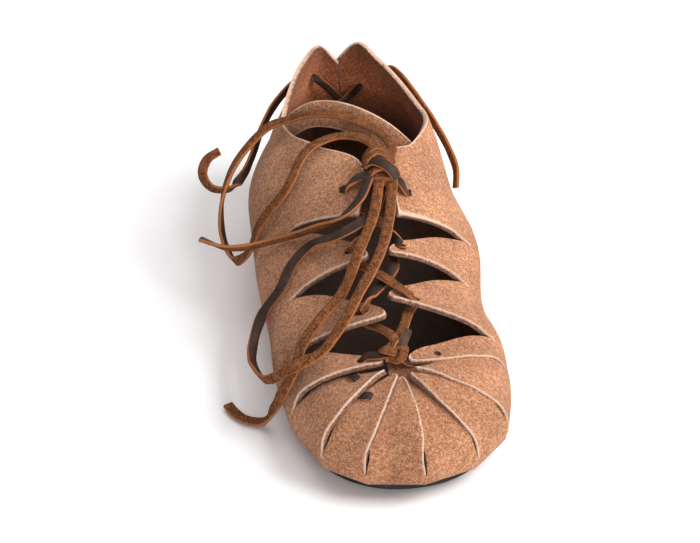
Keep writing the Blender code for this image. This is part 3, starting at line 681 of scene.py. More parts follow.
def wall_base(along):
    """The wall's rows from the margin under the insole to the cuts' feet, and its direction there."""
    plan = ring_at(along)
    facet = facet_inset(along)
    foot_z, inset, lean, flare = (foot_values(along, c) for c in ("z", "inset", "lean", "flare"))

    def on_sole(turned_in, above):
        at = ring_at(along, turned_in)
        return np.column_stack([at, OUTSOLE_THICK + CLEAR + WALL / 2 + sole_lift(at[:, 1]) + above])

    rows = [on_sole(MARGIN, 0.0)]
    for turn in np.radians(FOLD_TURNS):
        turned_in = facet + FOLD_RADIUS * (1 - math.sin(turn))
        rows.append(on_sole(turned_in, FOLD_RADIUS * (1 - math.cos(turn))))
    low, high = rows[-1], np.column_stack([ring_at(along, inset + facet), foot_z])
    out = ring_at(along, -1.0) - plan

    def heading(degrees):
        angle = np.radians(degrees)[:, None]
        return np.column_stack([out * np.sin(angle), np.cos(angle)])

    leave, arrive = heading(flare), heading(-lean)
    reach = WALL_PULL * (high - low)[:, 2:3]
    rows += [ease(t, low, reach * leave, high, reach * arrive) for t in WALL_STEPS]
    return np.array(rows), arrive


print("rows of points from the margin to the cuts:", 1 + len(FOLD_TURNS) + len(WALL_STEPS))

# %% [markdown]
# ## The tabs
#
# Each tab is a curved strip that leaves the wall in the wall's own direction and reaches its tip at the
# tip's own slope.  A cubic Bezier curve does just that, with one handle at each end, and its ends can be
# written down from the photograph.

# %% Tabs up to their tips
TAB_PULL = 0.38
TIP_ROUND = 3.5
TIP_ROUND_SHARE = 0.45


def tip_line(index, share):
    """Points of a tab's end and how steeply the tab arrives there, in degrees."""
    before, after = CUT[index], CUT[(index + 1) % len(CUT)]
    rim = RIMS.get(before["name"])
    if rim:
        table = np.array(rim)
        place = share if before["name"] == "heel_seam" else 1 - share
        values = hermite(table[:, 0], table[:, 1:], place)
        return values[:, :3], values[:, 3]
    start, end = np.array(before["tip_after"], float), np.array(after["tip_before"], float)
    line = start + (end - start) * share[:, None]
    foot = ring_at([(CUT_ALONG[index] + CUT_ALONG[index + 1]) / 2])[0]
    ahead = unit(line.mean(0)[:2] - foot)
    crown = min(TIP_ROUND, TIP_ROUND_SHARE * np.linalg.norm(end - start))
    line[:, :2] += ahead * (crown * (1 - (2 * share - 1) ** 2))[:, None]
    return line, before["rise"] + (after["rise"] - before["rise"]) * share


def tip_width(index):
    start, end = tip_line(index, np.array((0.0, 1.0)))[0]
    return np.linalg.norm(end - start)


def tab_rows(index, share, heights):
    """The rows of one tab below the cuts' feet and at heights above them."""
    along = CUT_ALONG[index] + (CUT_ALONG[index + 1] - CUT_ALONG[index]) * share
    base, heading = wall_base(along)
    foot = base[-1]
    tip, rise = tip_line(index, share)
    run = tip - foot
    ahead = unit(run[:, :2])
    rise = np.radians(rise)
    arrive = np.column_stack([ahead * np.cos(rise)[:, None], np.sin(rise)])
    pull = TAB_PULL * np.linalg.norm(run, axis=1)[:, None]
    made = []
    for t in heights:
        made.append(
            (1 - t) ** 3 * foot
            + 3 * t * (1 - t) ** 2 * (foot + heading * pull)
            + 3 * t**2 * (1 - t) * (tip - arrive * pull)
            + t**3 * tip
        )
    return base, np.array(made)


print("tips, mm wide:", [round(float(tip_width(index)), 1) for index in range(len(CUT))])

# %% [markdown]
# ## Laps, steps and round tips
#
# Along a cut, one tab lies over the other: its edge is lifted, the other's is lowered, and the two either
# lap or leave a gap.  Both changes fade away from the cut.  A knife also leaves no sharp corner on a tip,
# so the rows near it are made narrower step by step.

# %% Stepped edges and round tips
CUT_GAP = 1.1
CUT_GAP_RAMP = 0.15
LAP_SPAN = (0.16, 0.70)
HEEL_LAP_SPAN = (0.0, 1.0)
LAP_RAMP = 0.30
STEP_REACH = 20.0
STEP_RAMP = 0.3
STEP_FALL = 1.5
TIP_STEP_FROM = 0.62
NARROWEST = 0.6
TIP_CORNER = 0.14
TIP_CORNER_SHARE = 0.75
TIP_FLAT = 0.35


def shingled(index, base, made, share, heights):
    """A tab's rows with each long edge stepped over or under its neighbour, lapped or apart."""
    before, after = CUT[index], CUT[(index + 1) % len(CUT)]
    grid = np.concatenate([base[-1:], made])
    across, up = np.gradient(grid, axis=1), np.gradient(grid, axis=0)
    normal = unit(np.cross(across, up))
    across = unit(across)
    height = np.concatenate([[0.0], heights])
    foot_width = CUT_ALONG[index + 1] - CUT_ALONG[index]
    narrowing = max(tip_width(index) / foot_width, NARROWEST) - 1
    width = (foot_width * (1 + narrowing * height))[:, None]
    near_start = np.clip(1 - share * width / STEP_REACH, 0, 1) ** STEP_FALL
    near_end = np.clip(1 - (1 - share) * width / STEP_REACH, 0, 1) ** STEP_FALL
    opened = smoothstep(height / CUT_GAP_RAMP)[:, None]

    def stepped(cut):
        to_tip = smoothstep((height - TIP_STEP_FROM) / (1 - TIP_STEP_FROM))
        step = cut["step"] + (cut["tip_step"] - cut["step"]) * to_tip
        return (cut["over"] * step * smoothstep(height / STEP_RAMP))[:, None]

    lift = stepped(after) * near_end - stepped(before) * near_start

    def apart(cut):
        start, end = HEEL_LAP_SPAN if cut["name"] == "heel_seam" else LAP_SPAN
        closed = smoothstep((height - start) / LAP_RAMP) * (1 - smoothstep((height - end) / LAP_RAMP))
        return CUT_GAP * opened - max(cut["lap"] + CUT_GAP, 0.0) * closed[:, None]

    aside = (near_start**2 * apart(before) - near_end**2 * apart(after)) / 2
    moved = grid + normal * lift[..., None] + across * aside[..., None]
    return moved[1:]


def round_tip(index, rows, share, heights):
    """A tab's rows made narrower towards the tip, which rounds its two corners."""
    if CUT[index]["name"] in RIMS:
        return rows
    length = np.linalg.norm(rows[-1] - rows[0], axis=1).max()
    corner = min(TIP_CORNER, TIP_CORNER_SHARE * tip_width(index) / length)
    rounded = rows.copy()
    for row, height in enumerate(heights):
        up = max(0.0, (height - 1 + corner) / corner)
        narrow = TIP_FLAT + (1 - TIP_FLAT) * math.sqrt(1 - up**2)
        at = 0.5 + (share - 0.5) * narrow
        rounded[row] = read_columns(at, share, rows[row])
    return rounded


print("steps along the cuts, mm:", [cut["step"] for cut in CUT])

# %% [markdown]
# ## Where the holes are
#
# The lace and the thongs need the middle of each hole and the direction out of the hide there.  Both are
# read from the tabs themselves, so a hole stays in its tab when a table changes.

# %% Places of the holes
FRAME_STEPS = 40
FRAME_REACH = 0.01


def tab_frame(cut_name, share, height):
    """A point of a tab's middle surface and the direction out of it."""
    index = [cut["name"] for cut in CUT].index(cut_name)
    shares = share + np.array((-FRAME_REACH, 0.0, FRAME_REACH))
    heights = np.linspace(0, 1, FRAME_STEPS + 1)[1:]
    base, made = tab_rows(index, shares, heights)
    rows = np.concatenate([base[-1:], shingled(index, base, made, shares, heights)])
    row = min(int(round(height * FRAME_STEPS)), FRAME_STEPS - 1)
    out = np.cross(rows[row, 2] - rows[row, 0], rows[row + 1, 1] - rows[row, 1])
    return rows[row, 1], unit(out)


# Columns: the cut before the tab, share of the tab's width, share of its height
HOLE = {
    "left_1": ("heel_seam", 0.95, 0.80),
    "right_1": ("right_quarter", 0.035, 0.86),
    "left_2": ("left_quarter", 0.42, 0.80),
    "right_2": ("right_strap", 0.70, 0.84),
    "left_3": ("left_strap", 0.45, 0.74),
    "right_3": ("right_vamp", 0.35, 0.74),
    "left_4": ("left_vamp", 0.50, 0.80),
    "right_4": ("petal_7", 0.425, 0.75),
    "heel_left_high": ("heel_seam", 0.11, 0.73),
    "heel_left_low": ("heel_seam", 0.06, 0.36),
    "heel_right_high": ("right_quarter", 0.92, 0.56),
    "heel_right_low": ("right_quarter", 0.95, 0.30),
}
HOLE_FRAME = {name: tab_frame(*row) for name, row in HOLE.items()}
print("holes:", len(HOLE_FRAME))

# %% [markdown]
# ## Thongs
#
# A thong is swept along its route: a small rounded rectangle is placed at every step, turned so that
# its good side faces the wanted way.  Those ways are given at a few shares of the length and blended
# between them, so a strip can lie flat here and stand on edge there, as a real one does when it bends.

# %% Sweep a thong along a route
THONG_WIDTH = 4.7
THONG_THICK = 1.8
THONG_STEP = 1.3
# A cut strip wavers in width: by this share, with two waves of these radians a millimetre
WAVER = 0.06
WAVER_FAST = 0.37
WAVER_SLOW = 0.11

# Section of a strip as shares of its half width and half thickness, with u of the UV map
STRIP_SECTION = (
    (0.80, 1.0, 1.0), (0.28, 1.06, 1.0), (-0.28, 1.06, 1.0), (-0.80, 1.0, 1.0),
    (-1.0, 0.45, 0.5), (-1.0, -0.45, 0.5),
    (-0.80, -1.0, 0.0), (-0.28, -1.04, 0.0), (0.28, -1.04, 0.0), (0.80, -1.0, 0.0),
    (1.0, -0.45, 0.5), (1.0, 0.45, 0.5),
)


def smooth_route(points):
    """Points close together on a smooth line through a route's points."""
    points = np.array(points, float)
    along = lengths_along(points)
    return hermite(along, points, np.linspace(0, along[-1], int(round(along[-1] / THONG_STEP)) + 1))


def sweep_strip(route, good_side, width, thick):
    """Rings of points of a strip, the side of each point and the line it follows."""
    line = smooth_route(route)
    along = lengths_along(line)
    tangent = unit(np.gradient(line, axis=0))
    keys = np.array([key[0] for key in good_side])
    ways = unit([key[1] for key in good_side])
    way = read_columns(along / along[-1], keys, ways)
    way = unit(way - (way * tangent).sum(1)[:, None] * tangent)
    side = np.cross(tangent, way)
    section = np.array(STRIP_SECTION)
    swell = 1 + WAVER * np.sin(along * WAVER_FAST + len(line)) * np.cos(along * WAVER_SLOW)
    rings = (
        line[:, None]
        + side[:, None] * (section[None, :, 0:1] * (width / 2) * swell[:, None, None])
        + way[:, None] * (section[None, :, 1:2] * (thick / 2))
    )
    return rings, section[:, 2], along, line


print("sides of a strip's section:", len(STRIP_SECTION))

# %% [markdown]
# ## Strips as meshes
#
# Rings of points become a mesh when neighbouring rings are joined by quads and the two ends are closed.
# No primitive or modifier keeps a strip's two sides apart along such a route, so the faces are listed
# here, and each gets its place in the UV map that the thong's material reads.

# %% Meshes of strips
UV_LENGTH = 100.0
EDGE_U = 0.5
SMOOTH_ANGLE = math.radians(50)


def select_only(*pieces):
    """Select these pieces alone and make the first one active."""
    deselect()
    for piece in pieces:
        piece.select_set(True)
    bpy.context.view_layer.objects.active = pieces[0]


def on_whole_mesh(piece, operator, **settings):
    """Run a mesh operator on every part of a piece."""
    select_only(piece)
    bpy.ops.object.mode_set(mode="EDIT")
    bpy.ops.mesh.select_all(action="SELECT")
    operator(**settings)
    bpy.ops.object.mode_set(mode="OBJECT")


def strip_mesh(name, strips):
    """One object of several strips, each a route, its good side's ways, a width and a thickness."""
    points, faces, uvs, lines = [], [], [], []
    for route, good_side, width, thick in strips:
        rings, sides, along, line = sweep_strip(route, good_side, width, thick)
        first, count = len(points), rings.shape[1]
        points.extend(map(tuple, in_frame(rings.reshape(-1, 3))))
        for k in range(len(rings) - 1):
            start, end = first + k * count, first + (k + 1) * count
            for j in range(count):
                after = (j + 1) % count
                faces.append((start + j, end + j, end + after, start + after))
                u, u_after = sides[j], sides[after]
                uvs += [(u, along[k]), (u, along[k + 1]), (u_after, along[k + 1]), (u_after, along[k])]
        last = first + (len(rings) - 1) * count
        faces.append(tuple(range(first, first + count)))
        faces.append(tuple(reversed(range(last, last + count))))
        uvs += [(EDGE_U, 0.0)] * count + [(EDGE_U, along[-1])] * count
        lines.append(in_frame(line))
    mesh = bpy.data.meshes.new(name)
    mesh.from_pydata(points, [], faces)
    layer = mesh.uv_layers.new(name="strip")
    for loop, (u, v) in zip(layer.data, uvs):
        loop.uv = (u, v / UV_LENGTH)
    mesh.materials.append(thong_leather)
    piece = bpy.data.objects.new(name, mesh)
    bpy.context.scene.collection.objects.link(piece)
    on_whole_mesh(piece, bpy.ops.mesh.normals_make_consistent, inside=False)
    bpy.ops.object.shade_smooth_by_angle(angle=SMOOTH_ANGLE)
    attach(piece, "root")
    print(name, "lengths, mm:", [round(float(lengths_along(line)[-1] / MM)) for line in lines])
    return piece, lines


print("strips turn smooth below", round(math.degrees(SMOOTH_ANGLE)), "degrees")

# %% [markdown]
# ## Loops and loose ends
#
# The routes follow the solids' own, chosen so that each stretch lies on the shoe or hangs from
# it, and one end comes down to the floor.  The upper loop shows its rough side where it leaves the knot
# and turns on edge at the far left.

# %% Free stretches of the lace
# Each route: its points, then the ways that the good side faces at shares of the length
FREE_ROUTES = {
    "lace_loop_upper": (
        ((10.0, 16.2, 79.6), (13.0, 32.0, 78.0), (6.8, 48.0, 77.6), (-3.6, 55.0, 80.0),
         (-22.5, 65.5, 77.0), (-31.0, 69.5, 72.5), (-38.5, 71.0, 69.5), (-50.5, 66.0, 62.0),
         (-61.5, 55.0, 52.0), (-66.7, 42.0, 40.0), (-66.0, 31.0, 29.5), (-62.0, 23.5, 25.0),
         (-57.0, 19.5, 30.5), (-49.4, 22.6, 46.0), (-37.4, 25.3, 61.0), (-23.0, 41.0, 74.4),
         (-10.0, 43.5, 77.5), (-2.0, 39.5, 79.0), (3.5, 31.5, 80.0), (4.6, 16.5, 80.4)),
        ((0.0, (0, 0, -1)), (0.30, (0, 0.2, -1)), (0.42, (0.7, 0.1, -0.5)), (0.52, (0.9, -0.5, 0.2)),
         (0.60, (0.9, -0.1, 0.3)), (0.68, (0.8, 0.5, -0.5)), (0.80, (0.3, 0.2, -1)), (1.0, (0, 0, -1))),
    ),
    "lace_end_upper": (
        ((-1.1, 5.8, 78.5), (-6.5, -4.5, 74.0), (-14.0, -8.5, 68.5), (-27.5, -3.5, 59.0),
         (-47.3, 6.5, 46.4), (-56.0, 8.0, 43.5), (-66.0, 9.5, 42.5), (-78.0, 15.5, 44.5)),
        ((0.0, (-0.3, -0.2, 0.9)), (0.18, (-0.3, 0.1, 0.9)), (0.36, (0.1, 0.85, 0.5)),
         (0.85, (0, 0.85, 0.5)), (1.0, (0, 0.4, 0.9))),
    ),
    "lace_loop_lower": (
        ((9.4, 3.7, 77.4), (5.0, -16.0, 69.0), (-3.0, -37.0, 64.0), (-12.6, -51.5, 58.0),
         (-23.1, -65.5, 50.0), (-32.0, -72.0, 42.5), (-44.5, -74.5, 37.5), (-55.5, -66.0, 25.0),
         (-58.5, -54.0, 20.0), (-60.0, -44.0, 18.5), (-58.7, -34.0, 19.5), (-53.6, -23.6, 27.0),
         (-44.8, -22.0, 40.2), (-37.2, -13.5, 49.0), (-31.0, -11.5, 54.5), (-18.0, -18.0, 64.5),
         (-8.0, -15.5, 68.4), (0.0, -6.5, 68.2), (4.4, 3.6, 72.6)),
        ((0.0, (0, 0, -1)), (0.36, (0.2, 0.2, -1)), (0.46, (0.6, 0.8, 0.1)), (0.56, (0.7, 0.2, 0.7)),
         (0.70, (-0.1, -0.4, 1)), (1.0, (0, -0.3, 1))),
    ),
    "lace_end_lower": (
        ((3.4, 3.3, 77.8), (-1.5, -13.0, 71.0), (-10.2, -30.5, 64.6), (-20.0, -46.5, 53.5),
         (-31.2, -57.0, 48.2), (-39.6, -63.8, 40.0), (-43.2, -70.8, 34.2), (-48.6, -76.0, 27.0),
         (-53.0, -72.0, 13.5), (-58.5, -67.5, 2.4), (-66.0, -63.5, 1.8), (-70.0, -58.0, 1.8),
         (-72.0, -53.5, 1.9)),
        ((0.0, (0, 0, -1)), (0.5, (0.1, 0.2, -1)), (0.72, (0.7, 0.7, 0.1)), (0.84, (0.1, 0.1, -1)),
         (1.0, (0, 0, -1))),
    ),
    "heel_thong_left": (
        ((-16.3, 125.5, 64.8), (-24.6, 119.6, 62.0), (-34.5, 109.5, 57.0), (-42.5, 96.0, 51.0),
         (-48.5, 82.0, 45.0), (-54.0, 71.0, 41.5), (-61.5, 63.5, 39.0), (-69.5, 64.0, 40.0),
         (-73.5, 71.0, 44.0), (-70.5, 77.0, 48.5), (-64.5, 78.0, 52.0)),
        ((0.0, (0.8, -0.8, 0)), (0.5, (0.9, -0.3, 0.2)), (0.75, (0.2, 0.9, 0.4)),
         (1.0, (0.2, 0.3, -0.9))),
    ),
    "heel_thong_right": (
        ((12.9, 128.7, 55.8), (20.0, 126.0, 61.5), (26.0, 117.0, 68.5), (29.0, 106.0, 70.5),
         (35.0, 93.0, 66.0), (42.0, 80.0, 58.0), (47.5, 68.0, 49.5), (49.5, 59.0, 43.5),
         (48.5, 53.0, 37.5)),
        ((0.0, (0.4, 0.9, -0.2)), (0.4, (0.9, 0.3, -0.1)), (1.0, (0.9, 0.2, -0.2))),
    ),
}

for node, (route, good_side) in FREE_ROUTES.items():
    piece, lines = strip_mesh("thong_" + node, [(route, good_side, THONG_WIDTH, THONG_THICK)])
    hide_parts(node)

# %% [markdown]
# ## The bow's knot
#
# Seen close, this knot is a few short turns of thong.  Two coils arch over the strands behind, a wrap
# goes once round them, and a band that shows the good side crosses in front.  A thick strip in the
# middle stands for the strands inside.

# %% Bow knot
COIL_WIDTH = 4.4
COIL_THICK = 1.9
HIGH_COIL = (
    (-1.4, 17.0, 79.4), (0.4, 19.6, 82.4), (4.4, 21.2, 83.8), (8.6, 20.2, 82.4), (10.8, 17.4, 79.2),
)
LOW_COIL = (
    (-2.4, 12.2, 79.0), (0.0, 14.8, 82.6), (3.8, 16.2, 84.2), (7.8, 14.8, 83.2), (10.6, 11.8, 80.2),
)
COIL_WAYS = ((0.0, (0.8, 0, -0.6)), (0.5, (0, -0.3, -1)), (1.0, (-0.8, 0, -0.6)))
FRONT_WIDTH = 5.0
FRONT = ((-0.8, 13.2, 80.2), (1.6, 11.2, 83.2), (5.2, 7.8, 84.1), (8.8, 4.4, 82.4), (10.8, 2.6, 78.8))
FRONT_WAYS = ((0.0, (-0.5, 0.1, 0.8)), (0.5, (-0.1, -0.5, 0.9)), (1.0, (0.5, -0.6, 0.6)))
CORE_WIDTH = 8.6
CORE_THICK = 5.2
CORE = ((5.0, 3.0, 77.2), (5.8, 9.0, 78.2), (6.2, 18.6, 79.4))
CORE_WAYS = ((0.0, (0, -0.2, -1)), (1.0, (0, 0, -1)))
WRAP_MIDDLE = (6.0, 8.0, 77.8)
WRAP_RADII = (6.4, 4.2)
WRAP_LEAN = -2.6
WRAP_TURNS = 1.12
WRAP_POINTS = 16
WRAP_ANGLES = np.linspace(0, 2 * math.pi * WRAP_TURNS, WRAP_POINTS) + math.pi


def wrap():
    """A strip round a bundle that runs along y, rough side out, leaning by so much per turn."""
    cosine, sine = np.cos(WRAP_ANGLES), np.sin(WRAP_ANGLES)
    shift = WRAP_LEAN * (WRAP_ANGLES - WRAP_ANGLES.mean()) / (2 * math.pi)
    route = WRAP_MIDDLE + np.column_stack([WRAP_RADII[0] * cosine, shift, WRAP_RADII[1] * sine])
    inward = -np.column_stack([cosine, np.zeros(len(cosine)), sine])
    return route, list(zip(np.linspace(0, 1, len(route)), inward)), COIL_WIDTH, THONG_THICK


knot_strips = [
    (HIGH_COIL, COIL_WAYS, COIL_WIDTH, COIL_THICK),
    (LOW_COIL, COIL_WAYS, COIL_WIDTH, COIL_THICK),
    wrap(),
    (FRONT, FRONT_WAYS, FRONT_WIDTH, THONG_THICK),
    (CORE, CORE_WAYS, CORE_WIDTH, CORE_THICK),
]
bow_knot, _ = strip_mesh("bow_knot", knot_strips)
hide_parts("lace_knot")

# %% [markdown]
# ## Lacing
#
# Two strands start at the toe's knot and climb the throat.  Each goes under a strap, comes up through
# its hole, turns back over the strap and dives under the strap of the other side.  Going round a strap
# turns a strip over, so its good side shows after one hole and its rough side after the next.

# %% Two strands through the holes
LACING_WIDTH = 4.5
LACING_THICK = 1.7
UNDER = 3.0
ABOVE = 2.7
ABOVE_TOP = 1.9
SHIFT = 2.2


def beside(hole, away):
    """A point straight out of a hole, or straight in where away is negative."""
    point, out = HOLE_FRAME[hole]
    return point + out * away


def through(hole, coming, above=ABOVE):
    """Points under, in and over a hole for a strand that comes from this side and goes back to it."""
    back = np.array(coming, float) * SHIFT
    return [beside(hole, -UNDER) - back, beside(hole, 0), beside(hole, above) - back]


RIGHTWARD = (0.85, 0.5, 0.1)
LEFTWARD = (-0.85, 0.5, 0.1)
STRAND_A = [
    (-3.6, -78.6, 46.0), (0.5, -72.0, 46.4), (5.0, -62.5, 45.8), *through("right_3", RIGHTWARD),
    (3.2, -43.5, 54.6), (-2.5, -37.0, 55.6), (-8.0, -29.5, 54.6), *through("left_2", LEFTWARD),
    (-6.4, -14.5, 62.6), (1.5, -7.0, 63.6), (9.0, 0.0, 63.2), *through("right_1", RIGHTWARD, ABOVE_TOP),
    (12.6, 5.4, 75.4), (9.0, 6.6, 77.4),
]
WAYS_A = (
    (0.0, (0, 0.2, -1)), (0.17, (0, 0, -1)), (0.27, (-0.4, 0, -0.9)), (0.30, (-0.6, 0, -0.8)),
    (0.34, (0, 0, -1)), (0.50, (0, 0.2, -1)), (0.58, (-0.3, 0.4, -0.8)), (0.62, (-1, 0.2, 0.1)),
    (0.66, (-0.2, 0, 1)), (0.80, (0, -0.5, 0.8)), (0.90, (0.8, 0, 0.5)), (1.0, (0.2, -0.5, 0.8)),
)
STRAND_B = [
    (0.6, -78.6, 46.2), (-1.5, -71.0, 47.4), (-5.6, -62.0, 45.0), *through("left_3", LEFTWARD),
    (-6.8, -47.6, 52.4), (-0.5, -39.5, 52.4), (5.0, -31.0, 53.4), *through("right_2", RIGHTWARD),
    (4.4, -12.5, 62.8), (-1.6, -5.0, 65.6), (-7.6, 3.5, 64.6), *through("left_1", LEFTWARD),
    (-6.0, 9.4, 75.6), (0.5, 8.8, 78.8),
]
WAYS_B = (
    (0.0, (0, 0.2, -1)), (0.20, (0, 0, -1)), (0.27, (-0.9, 0.2, -0.1)), (0.31, (-0.2, -0.2, 1)),
    (0.45, (0.1, 0.1, 1)), (0.55, (0.2, 0, 1)), (0.62, (-0.8, 0, 0.2)), (0.66, (-0.1, 0, -1)),
    (0.84, (0.1, 0, -1)), (0.91, (-0.9, 0.1, -0.1)), (0.95, (-0.4, -0.2, 0.9)),
    (1.0, (-0.4, -0.2, 0.9)),
)
strand_a, _ = strip_mesh("lacing_to_right", [(STRAND_A, WAYS_A, LACING_WIDTH, LACING_THICK)])
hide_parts("lace_cross_1", "lace_cross_3", "lace_tie_right")
strand_b, _ = strip_mesh("lacing_to_left", [(STRAND_B, WAYS_B, LACING_WIDTH, LACING_THICK)])
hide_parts("lace_cross_2", "lace_tie_left")

# %% [markdown]
# ## Toe thong
#
# One more thong gathers the petals.  It comes up through a hole on the left, is tied in the middle and
# goes down under the petals on the right.  Its overhand knot follows a known curve with three lobes, so
# a few sine waves draw it, and a short cut end stands up from it.  On the left the thong shows twice
# more, where it passes from under one petal into the next.

# %% Toe thong with its knot
TOE_WIDTH = 4.0
TOE_THICK = 1.6
TOE_UNDER = 2.6
TOE_OVER = 2.4
TOE_SUNK = 0.4
TOE_KNOT = (-1.2, -78.6, 45.8)
TOE_KNOT_HALF = 5.6
TOE_KNOT_HIGH = 1.5
TOE_KNOT_TURN = 0.3
TOE_KNOT_WIDTH = 3.8
TOE_CORE_WIDTH = 5.2
TOE_CORE_THICK = 2.6
KNOT_POINTS = 49
KNOT_ANGLES = np.linspace(0, 2 * math.pi, KNOT_POINTS)
KNOT_TILT = 0.5
# Where the thong shows between petals.  Columns: the upper petal's cut, the lower one's, share of height
DRAWN = (
    ("left_vamp", "petal_1", 0.74),
    ("petal_1", "petal_2", 0.70),
)
# Its four points there, the first on the upper petal.  Columns: share of width, way out of the hide
DRAWN_POINTS = ((0.80, -3.0), (0.15, 1.7), (0.32, 1.7), (0.44, -2.2))


def overhand():
    """A strip tied into a flat knot with three lobes, its rough side up."""
    once, twice = KNOT_ANGLES - TOE_KNOT_TURN, 2 * KNOT_ANGLES + TOE_KNOT_TURN
    wide = np.sin(once) + 2 * np.sin(twice)
    deep = np.cos(once) - 2 * np.cos(twice)
    flat = np.column_stack([wide, deep, np.zeros(len(wide))]) * TOE_KNOT_HALF / 3
    ways = -unit(UP + unit(flat) * KNOT_TILT)
    route = TOE_KNOT + flat - UP * TOE_KNOT_HIGH * np.sin(3 * KNOT_ANGLES)[:, None]
    return route, list(zip(np.linspace(0, 1, len(route)), ways)), TOE_KNOT_WIDTH, TOE_THICK


def drawstring(upper_tab, lower_tab, height):
    """A short stretch from under one petal's rim, over its neighbour's edge and into that petal."""
    tabs = (upper_tab, lower_tab, lower_tab, lower_tab)
    frames = [tab_frame(tab, share, height) for tab, (share, _) in zip(tabs, DRAWN_POINTS)]
    route = [point + out * away for (point, out), (_, away) in zip(frames, DRAWN_POINTS)]
    edge_out = frames[1][1]
    return route, ((0.0, edge_out), (1.0, edge_out)), LACING_WIDTH, TOE_THICK


toe_strips = [
    (
        (beside("left_4", -TOE_UNDER), beside("left_4", 0), beside("left_4", TOE_OVER) + (2.2, 0.3, 0),
         (-8.0, -79.6, 44.2), (-4.0, -80.0, 45.0), (0.5, -80.0, 44.6)),
        ((0.0, (-1, 0, 0)), (0.4, (-0.2, -0.2, 1)), (1.0, (0, -0.2, 1))), TOE_WIDTH, TOE_THICK,
    ),
    (
        ((-3.5, -80.4, 43.4), (1.0, -80.4, 43.2), (4.0, -80.6, 40.2), (8.0, -80.0, 38.4),
         (13.0, -78.6, 37.8), beside("right_4", -TOE_UNDER), beside("right_4", -TOE_SUNK)),
        ((0.0, (0, -0.3, 1)), (0.7, (-0.2, -0.2, 1)), (1.0, (-1, 0, 0))), TOE_WIDTH, TOE_THICK,
    ),
    overhand(),
    (
        ((-6.0, -79.8, 43.4), (-1.6, -79.6, 43.6), (3.0, -79.4, 43.2)),
        ((0.0, (0, 0, -1)), (1.0, (0, 0, -1))), TOE_CORE_WIDTH, TOE_CORE_THICK,
    ),
    (
        ((0.6, -78.2, 46.0), (3.4, -73.8, 47.8), (5.4, -69.6, 49.4)),
        ((0.0, (0, -0.6, 0.8)), (1.0, (0.2, -0.7, 0.6))), TOE_WIDTH, TOE_THICK,
    ),
    *(drawstring(*row) for row in DRAWN),
]
toe_tie, _ = strip_mesh("toe_tie", toe_strips)
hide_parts("toe_thong")

# %% [markdown]
# ## Heel thong
#
# A second thong draws the two quarters together behind the heel.  It crosses itself inside, shows a
# short bar outside between the two low holes, and leaves a loose end on either side.

# %% Heel crossing
HEEL_WIDTH = 3.8
HEEL_THICK = 1.6
INSIDE = 3.6
OUTSIDE = 2.6
HEEL_WAY = (0, -1, 0.1)
heel_strips = [
    (
        (beside("heel_left_high", OUTSIDE) + (-1.5, 0, 0.2), beside("heel_left_high", 0),
         beside("heel_left_high", -INSIDE) + (2.5, 0, -2.0), (-2.0, 121.6, 53.0),
         beside("heel_right_low", -INSIDE) + (-2.0, 0, 2.6), beside("heel_right_low", 0),
         beside("heel_right_low", OUTSIDE) + (-2.0, 0, 0)),
        ((0.0, (0.6, 0.4, 0.7)), (0.25, HEEL_WAY), (0.75, HEEL_WAY), (1.0, (0, 0.2, -1))),
        HEEL_WIDTH, HEEL_THICK,
    ),
    (
        (beside("heel_left_low", OUTSIDE) + (2.0, 0, 0), beside("heel_left_low", 0),
         beside("heel_left_low", -INSIDE) + (2.0, 0, 1.4), (0.5, 119.2, 50.2),
         beside("heel_right_high", -INSIDE) + (-2.6, 0, -1.6), beside("heel_right_high", 0),
         beside("heel_right_high", OUTSIDE) + (1.2, 0, 0.8)),
        ((0.0, (0, 0.2, -1)), (0.25, HEEL_WAY), (0.75, HEEL_WAY), (1.0, (-0.6, 0.4, 0.7))),
        HEEL_WIDTH, HEEL_THICK,
    ),
    (
        (beside("heel_right_low", OUTSIDE) + (-1.4, 0, 0), (0.0, 131.0, 43.0),
         beside("heel_left_low", OUTSIDE) + (1.4, 0, 0)),
        ((0.0, (0, 1, 0)), (1.0, (0, 1, 0))), HEEL_WIDTH, HEEL_THICK,
    ),
]
heel_tie, _ = strip_mesh("heel_tie", heel_strips)
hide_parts("heel_thong_cross")

# %% [markdown]
# ## Marks that the material reads
#
# Wear sits where leather is touched: on the edges that lie on top and on the rims.  Dye gathers
# in places of its own, and painted shade darkens others.  Each point of a sheet stores how far it is
# from those edges and how much dye and painted shade darken it, so that the material needs no painted
# picture.

# %% Marks on the points
FAR_AWAY = 99.0
# Darker patches.  Painted shade over the right petals, painted shade with dye from the thong under
# the toe knot, dye round the top lace holes, and the hide darker at the left petals' tips and low at the
# toe, the sides and the heel.  Columns: middle, radius, strength
GRIME_AND_SHADE = (
    ((10.0, -95.0, 40.0), 38.0, 0.24),
    ((0.0, -82.0, 37.0), 8.0, 0.85),
    ((-8.0, -90.0, 39.0), 6.0, 0.35),
    ((0.0, -122.0, 9.0), 14.0, 0.30),
    ((-26.0, -108.0, 9.0), 12.0, 0.30),
    ((27.0, -106.0, 9.0), 12.0, 0.25),
    ((-6.0, 8.0, 70.0), 9.0, 0.35),
    ((11.0, 6.0, 70.0), 8.0, 0.30),
    ((-45.0, -40.0, 8.0), 26.0, 0.25),
    ((45.0, -30.0, 8.0), 26.0, 0.20),
    ((0.0, 126.0, 10.0), 22.0, 0.30),
)


def store(sheet, name, values):
    sheet.data.attributes.new(name, "FLOAT", "POINT").data.foreach_set("value", values)


